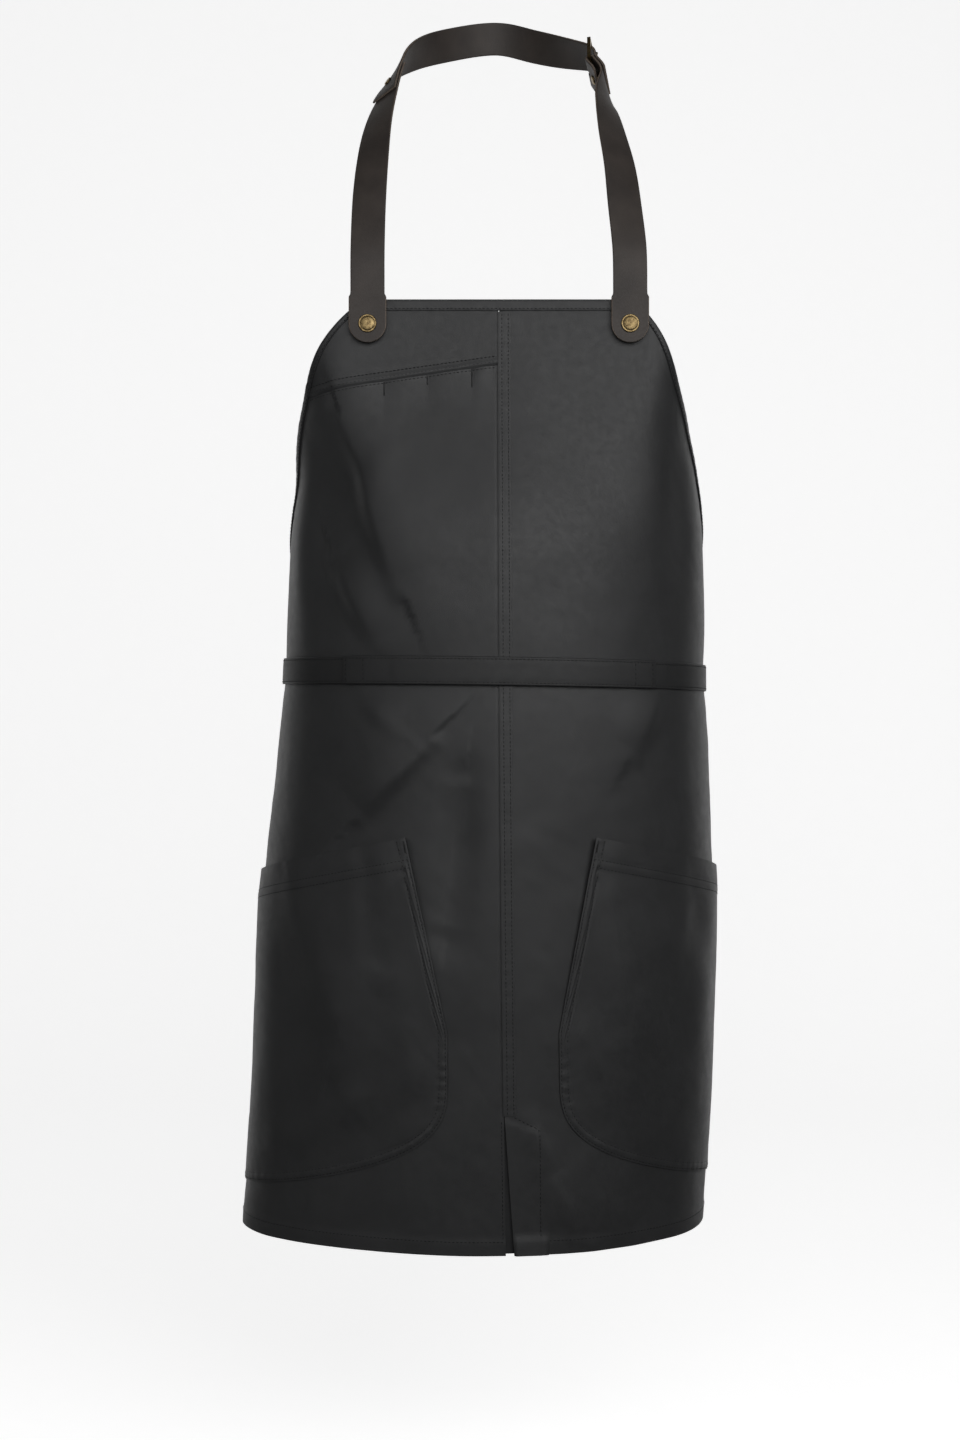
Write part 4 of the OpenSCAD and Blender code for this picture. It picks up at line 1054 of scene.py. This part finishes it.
# ---- Stage, light and camera ----
def stage():
    m, tree, shader = new_material("studio_paper")
    at = object_coordinates(tree)
    fibre = texture(tree, "ShaderNodeTexNoise", at, Scale=40.0, Detail=3.0)
    pale = ramp(tree, fibre, [(0.3, (0.86, 0.86, 0.86)), (0.7, (0.9, 0.9, 0.9))])
    tree.links.new(pale, shader.inputs["Base Color"])
    shader.inputs["Roughness"].default_value = 0.9
    shader.inputs["Emission Color"].default_value = (1, 1, 1, 1)
    shader.inputs["Emission Strength"].default_value = 0.75
    floor_z, top_z, half_x, r = -1.35, 3.2, 5.0, 0.9
    front_y, split_y, back_y = -6.0, 0.8, 2.4
    turn = np.linspace(0, math.pi / 2, 16)
    sweep = [(back_y - r + r * math.sin(a), floor_z + r - r * math.cos(a)) for a in turn]
    profiles = {"floor": [(split_y, floor_z), *sweep, (back_y, top_z)],
                "floor_front": [(front_y, floor_z), (split_y, floor_z)]}
    pieces = {}
    for name, profile in profiles.items():
        k = len(profile)
        pieces[name] = ([(x, y, z) for x in (-half_x, half_x) for y, z in profile],
                        [[i, i + 1, k + i + 1, k + i] for i in range(k - 1)])
    # pale walls on the other three sides, for views from behind
    ring = [(-half_x, back_y), (-half_x, front_y), (half_x, front_y), (half_x, back_y)]
    pieces["walls"] = ([(x, y, z) for x, y in ring for z in (floor_z, top_z)],
                       [[2 * i, 2 * i + 2, 2 * i + 3, 2 * i + 1] for i in range(3)])
    for name, (verts, faces) in pieces.items():
        me = bpy.data.meshes.new(name)
        me.from_pydata(verts, [], faces)
        me.polygons.foreach_set("use_smooth", np.full(len(faces), name != "walls"))
        me.materials.append(m)
        obj = bpy.data.objects.new(name, me)
        # the paper shines white without lighting the dark cloth; only its back half shows in gloss
        obj.visible_diffuse = False
        obj.visible_glossy = name == "floor"
        obj.visible_shadow = name != "walls"
        bpy.context.scene.collection.objects.link(obj)


def area_light(name, place_at, aim, size, power):
    data = bpy.data.lights.new(name, "AREA")
    data.shape, data.size, data.size_y, data.energy = "RECTANGLE", size[0], size[1], power
    obj = bpy.data.objects.new(name, data)
    obj.location = place_at
    obj.rotation_euler = (Vector(aim) - Vector(place_at)).to_track_quat("-Z", "Y").to_euler()
    bpy.context.scene.collection.objects.link(obj)


def lights():
    area_light("key", (0.6, -1.8, 0.0), (0.0, -0.15, -0.5), (2.4, 1.2), 25)
    area_light("fill", (-1.5, -1.9, -0.2), (0, 0, -0.7), (0.8, 1.6), 5)
    world = bpy.data.worlds.new("studio")
    world.use_nodes = True
    back = world.node_tree.nodes["Background"]
    back.inputs[0].default_value = (1, 1, 1, 1)
    back.inputs[1].default_value = 0.07
    bpy.context.scene.world = world
    bpy.context.scene.view_settings.view_transform = "Standard"


def camera():
    data = bpy.data.cameras.new("camera")
    data.sensor_width, data.lens = 36, 44.8
    data.clip_start, data.clip_end = 0.05, 50
    obj = bpy.data.objects.new("camera", data)
    eye_x, eye_ahead, eye_z = -16.0, 1500.0, 449.0
    obj.location = place(eye_x, -eye_ahead, eye_z)
    obj.rotation_euler = (math.pi / 2, 0, 0)
    bpy.context.scene.collection.objects.link(obj)
    bpy.context.scene.camera = obj


# ---- Putting it together ----
camera()
lights()
stage()
metal()
turned = hems()
panels = {side: panel(side) for side in (-1, 1)}
bib_yoke = yoke()
lap, top = seam_lap(), top_hem()
bindings = {-1: binding(-1, CLOTH_T + 3 * GAP), 1: binding(1, 2 * GAP)}
pockets = {side: hip_pocket(side) for side in (-1, 1)}
belt()
straps()
for side in (-1, 1):
    pocket_stitches(side)
seam_stitches()
edge_stitches()
bib_pocket_stitches()
belt_stitches()

# cut sizes: a panel is its widest by its tallest, less the armhole's cut-out
bib_mid_z = 780.0
for side in (-1, 1):
    zs = np.linspace(0, BODY_H, 400)
    area = float((edge(zs)[1:] + edge(zs)[:-1]).mean() / 2 * BODY_H)
    if side < 0:
        area -= float(edge(np.float64(bib_mid_z))) * (BODY_H - (MOUTH_Z + MOUTH_END_Z) / 2)
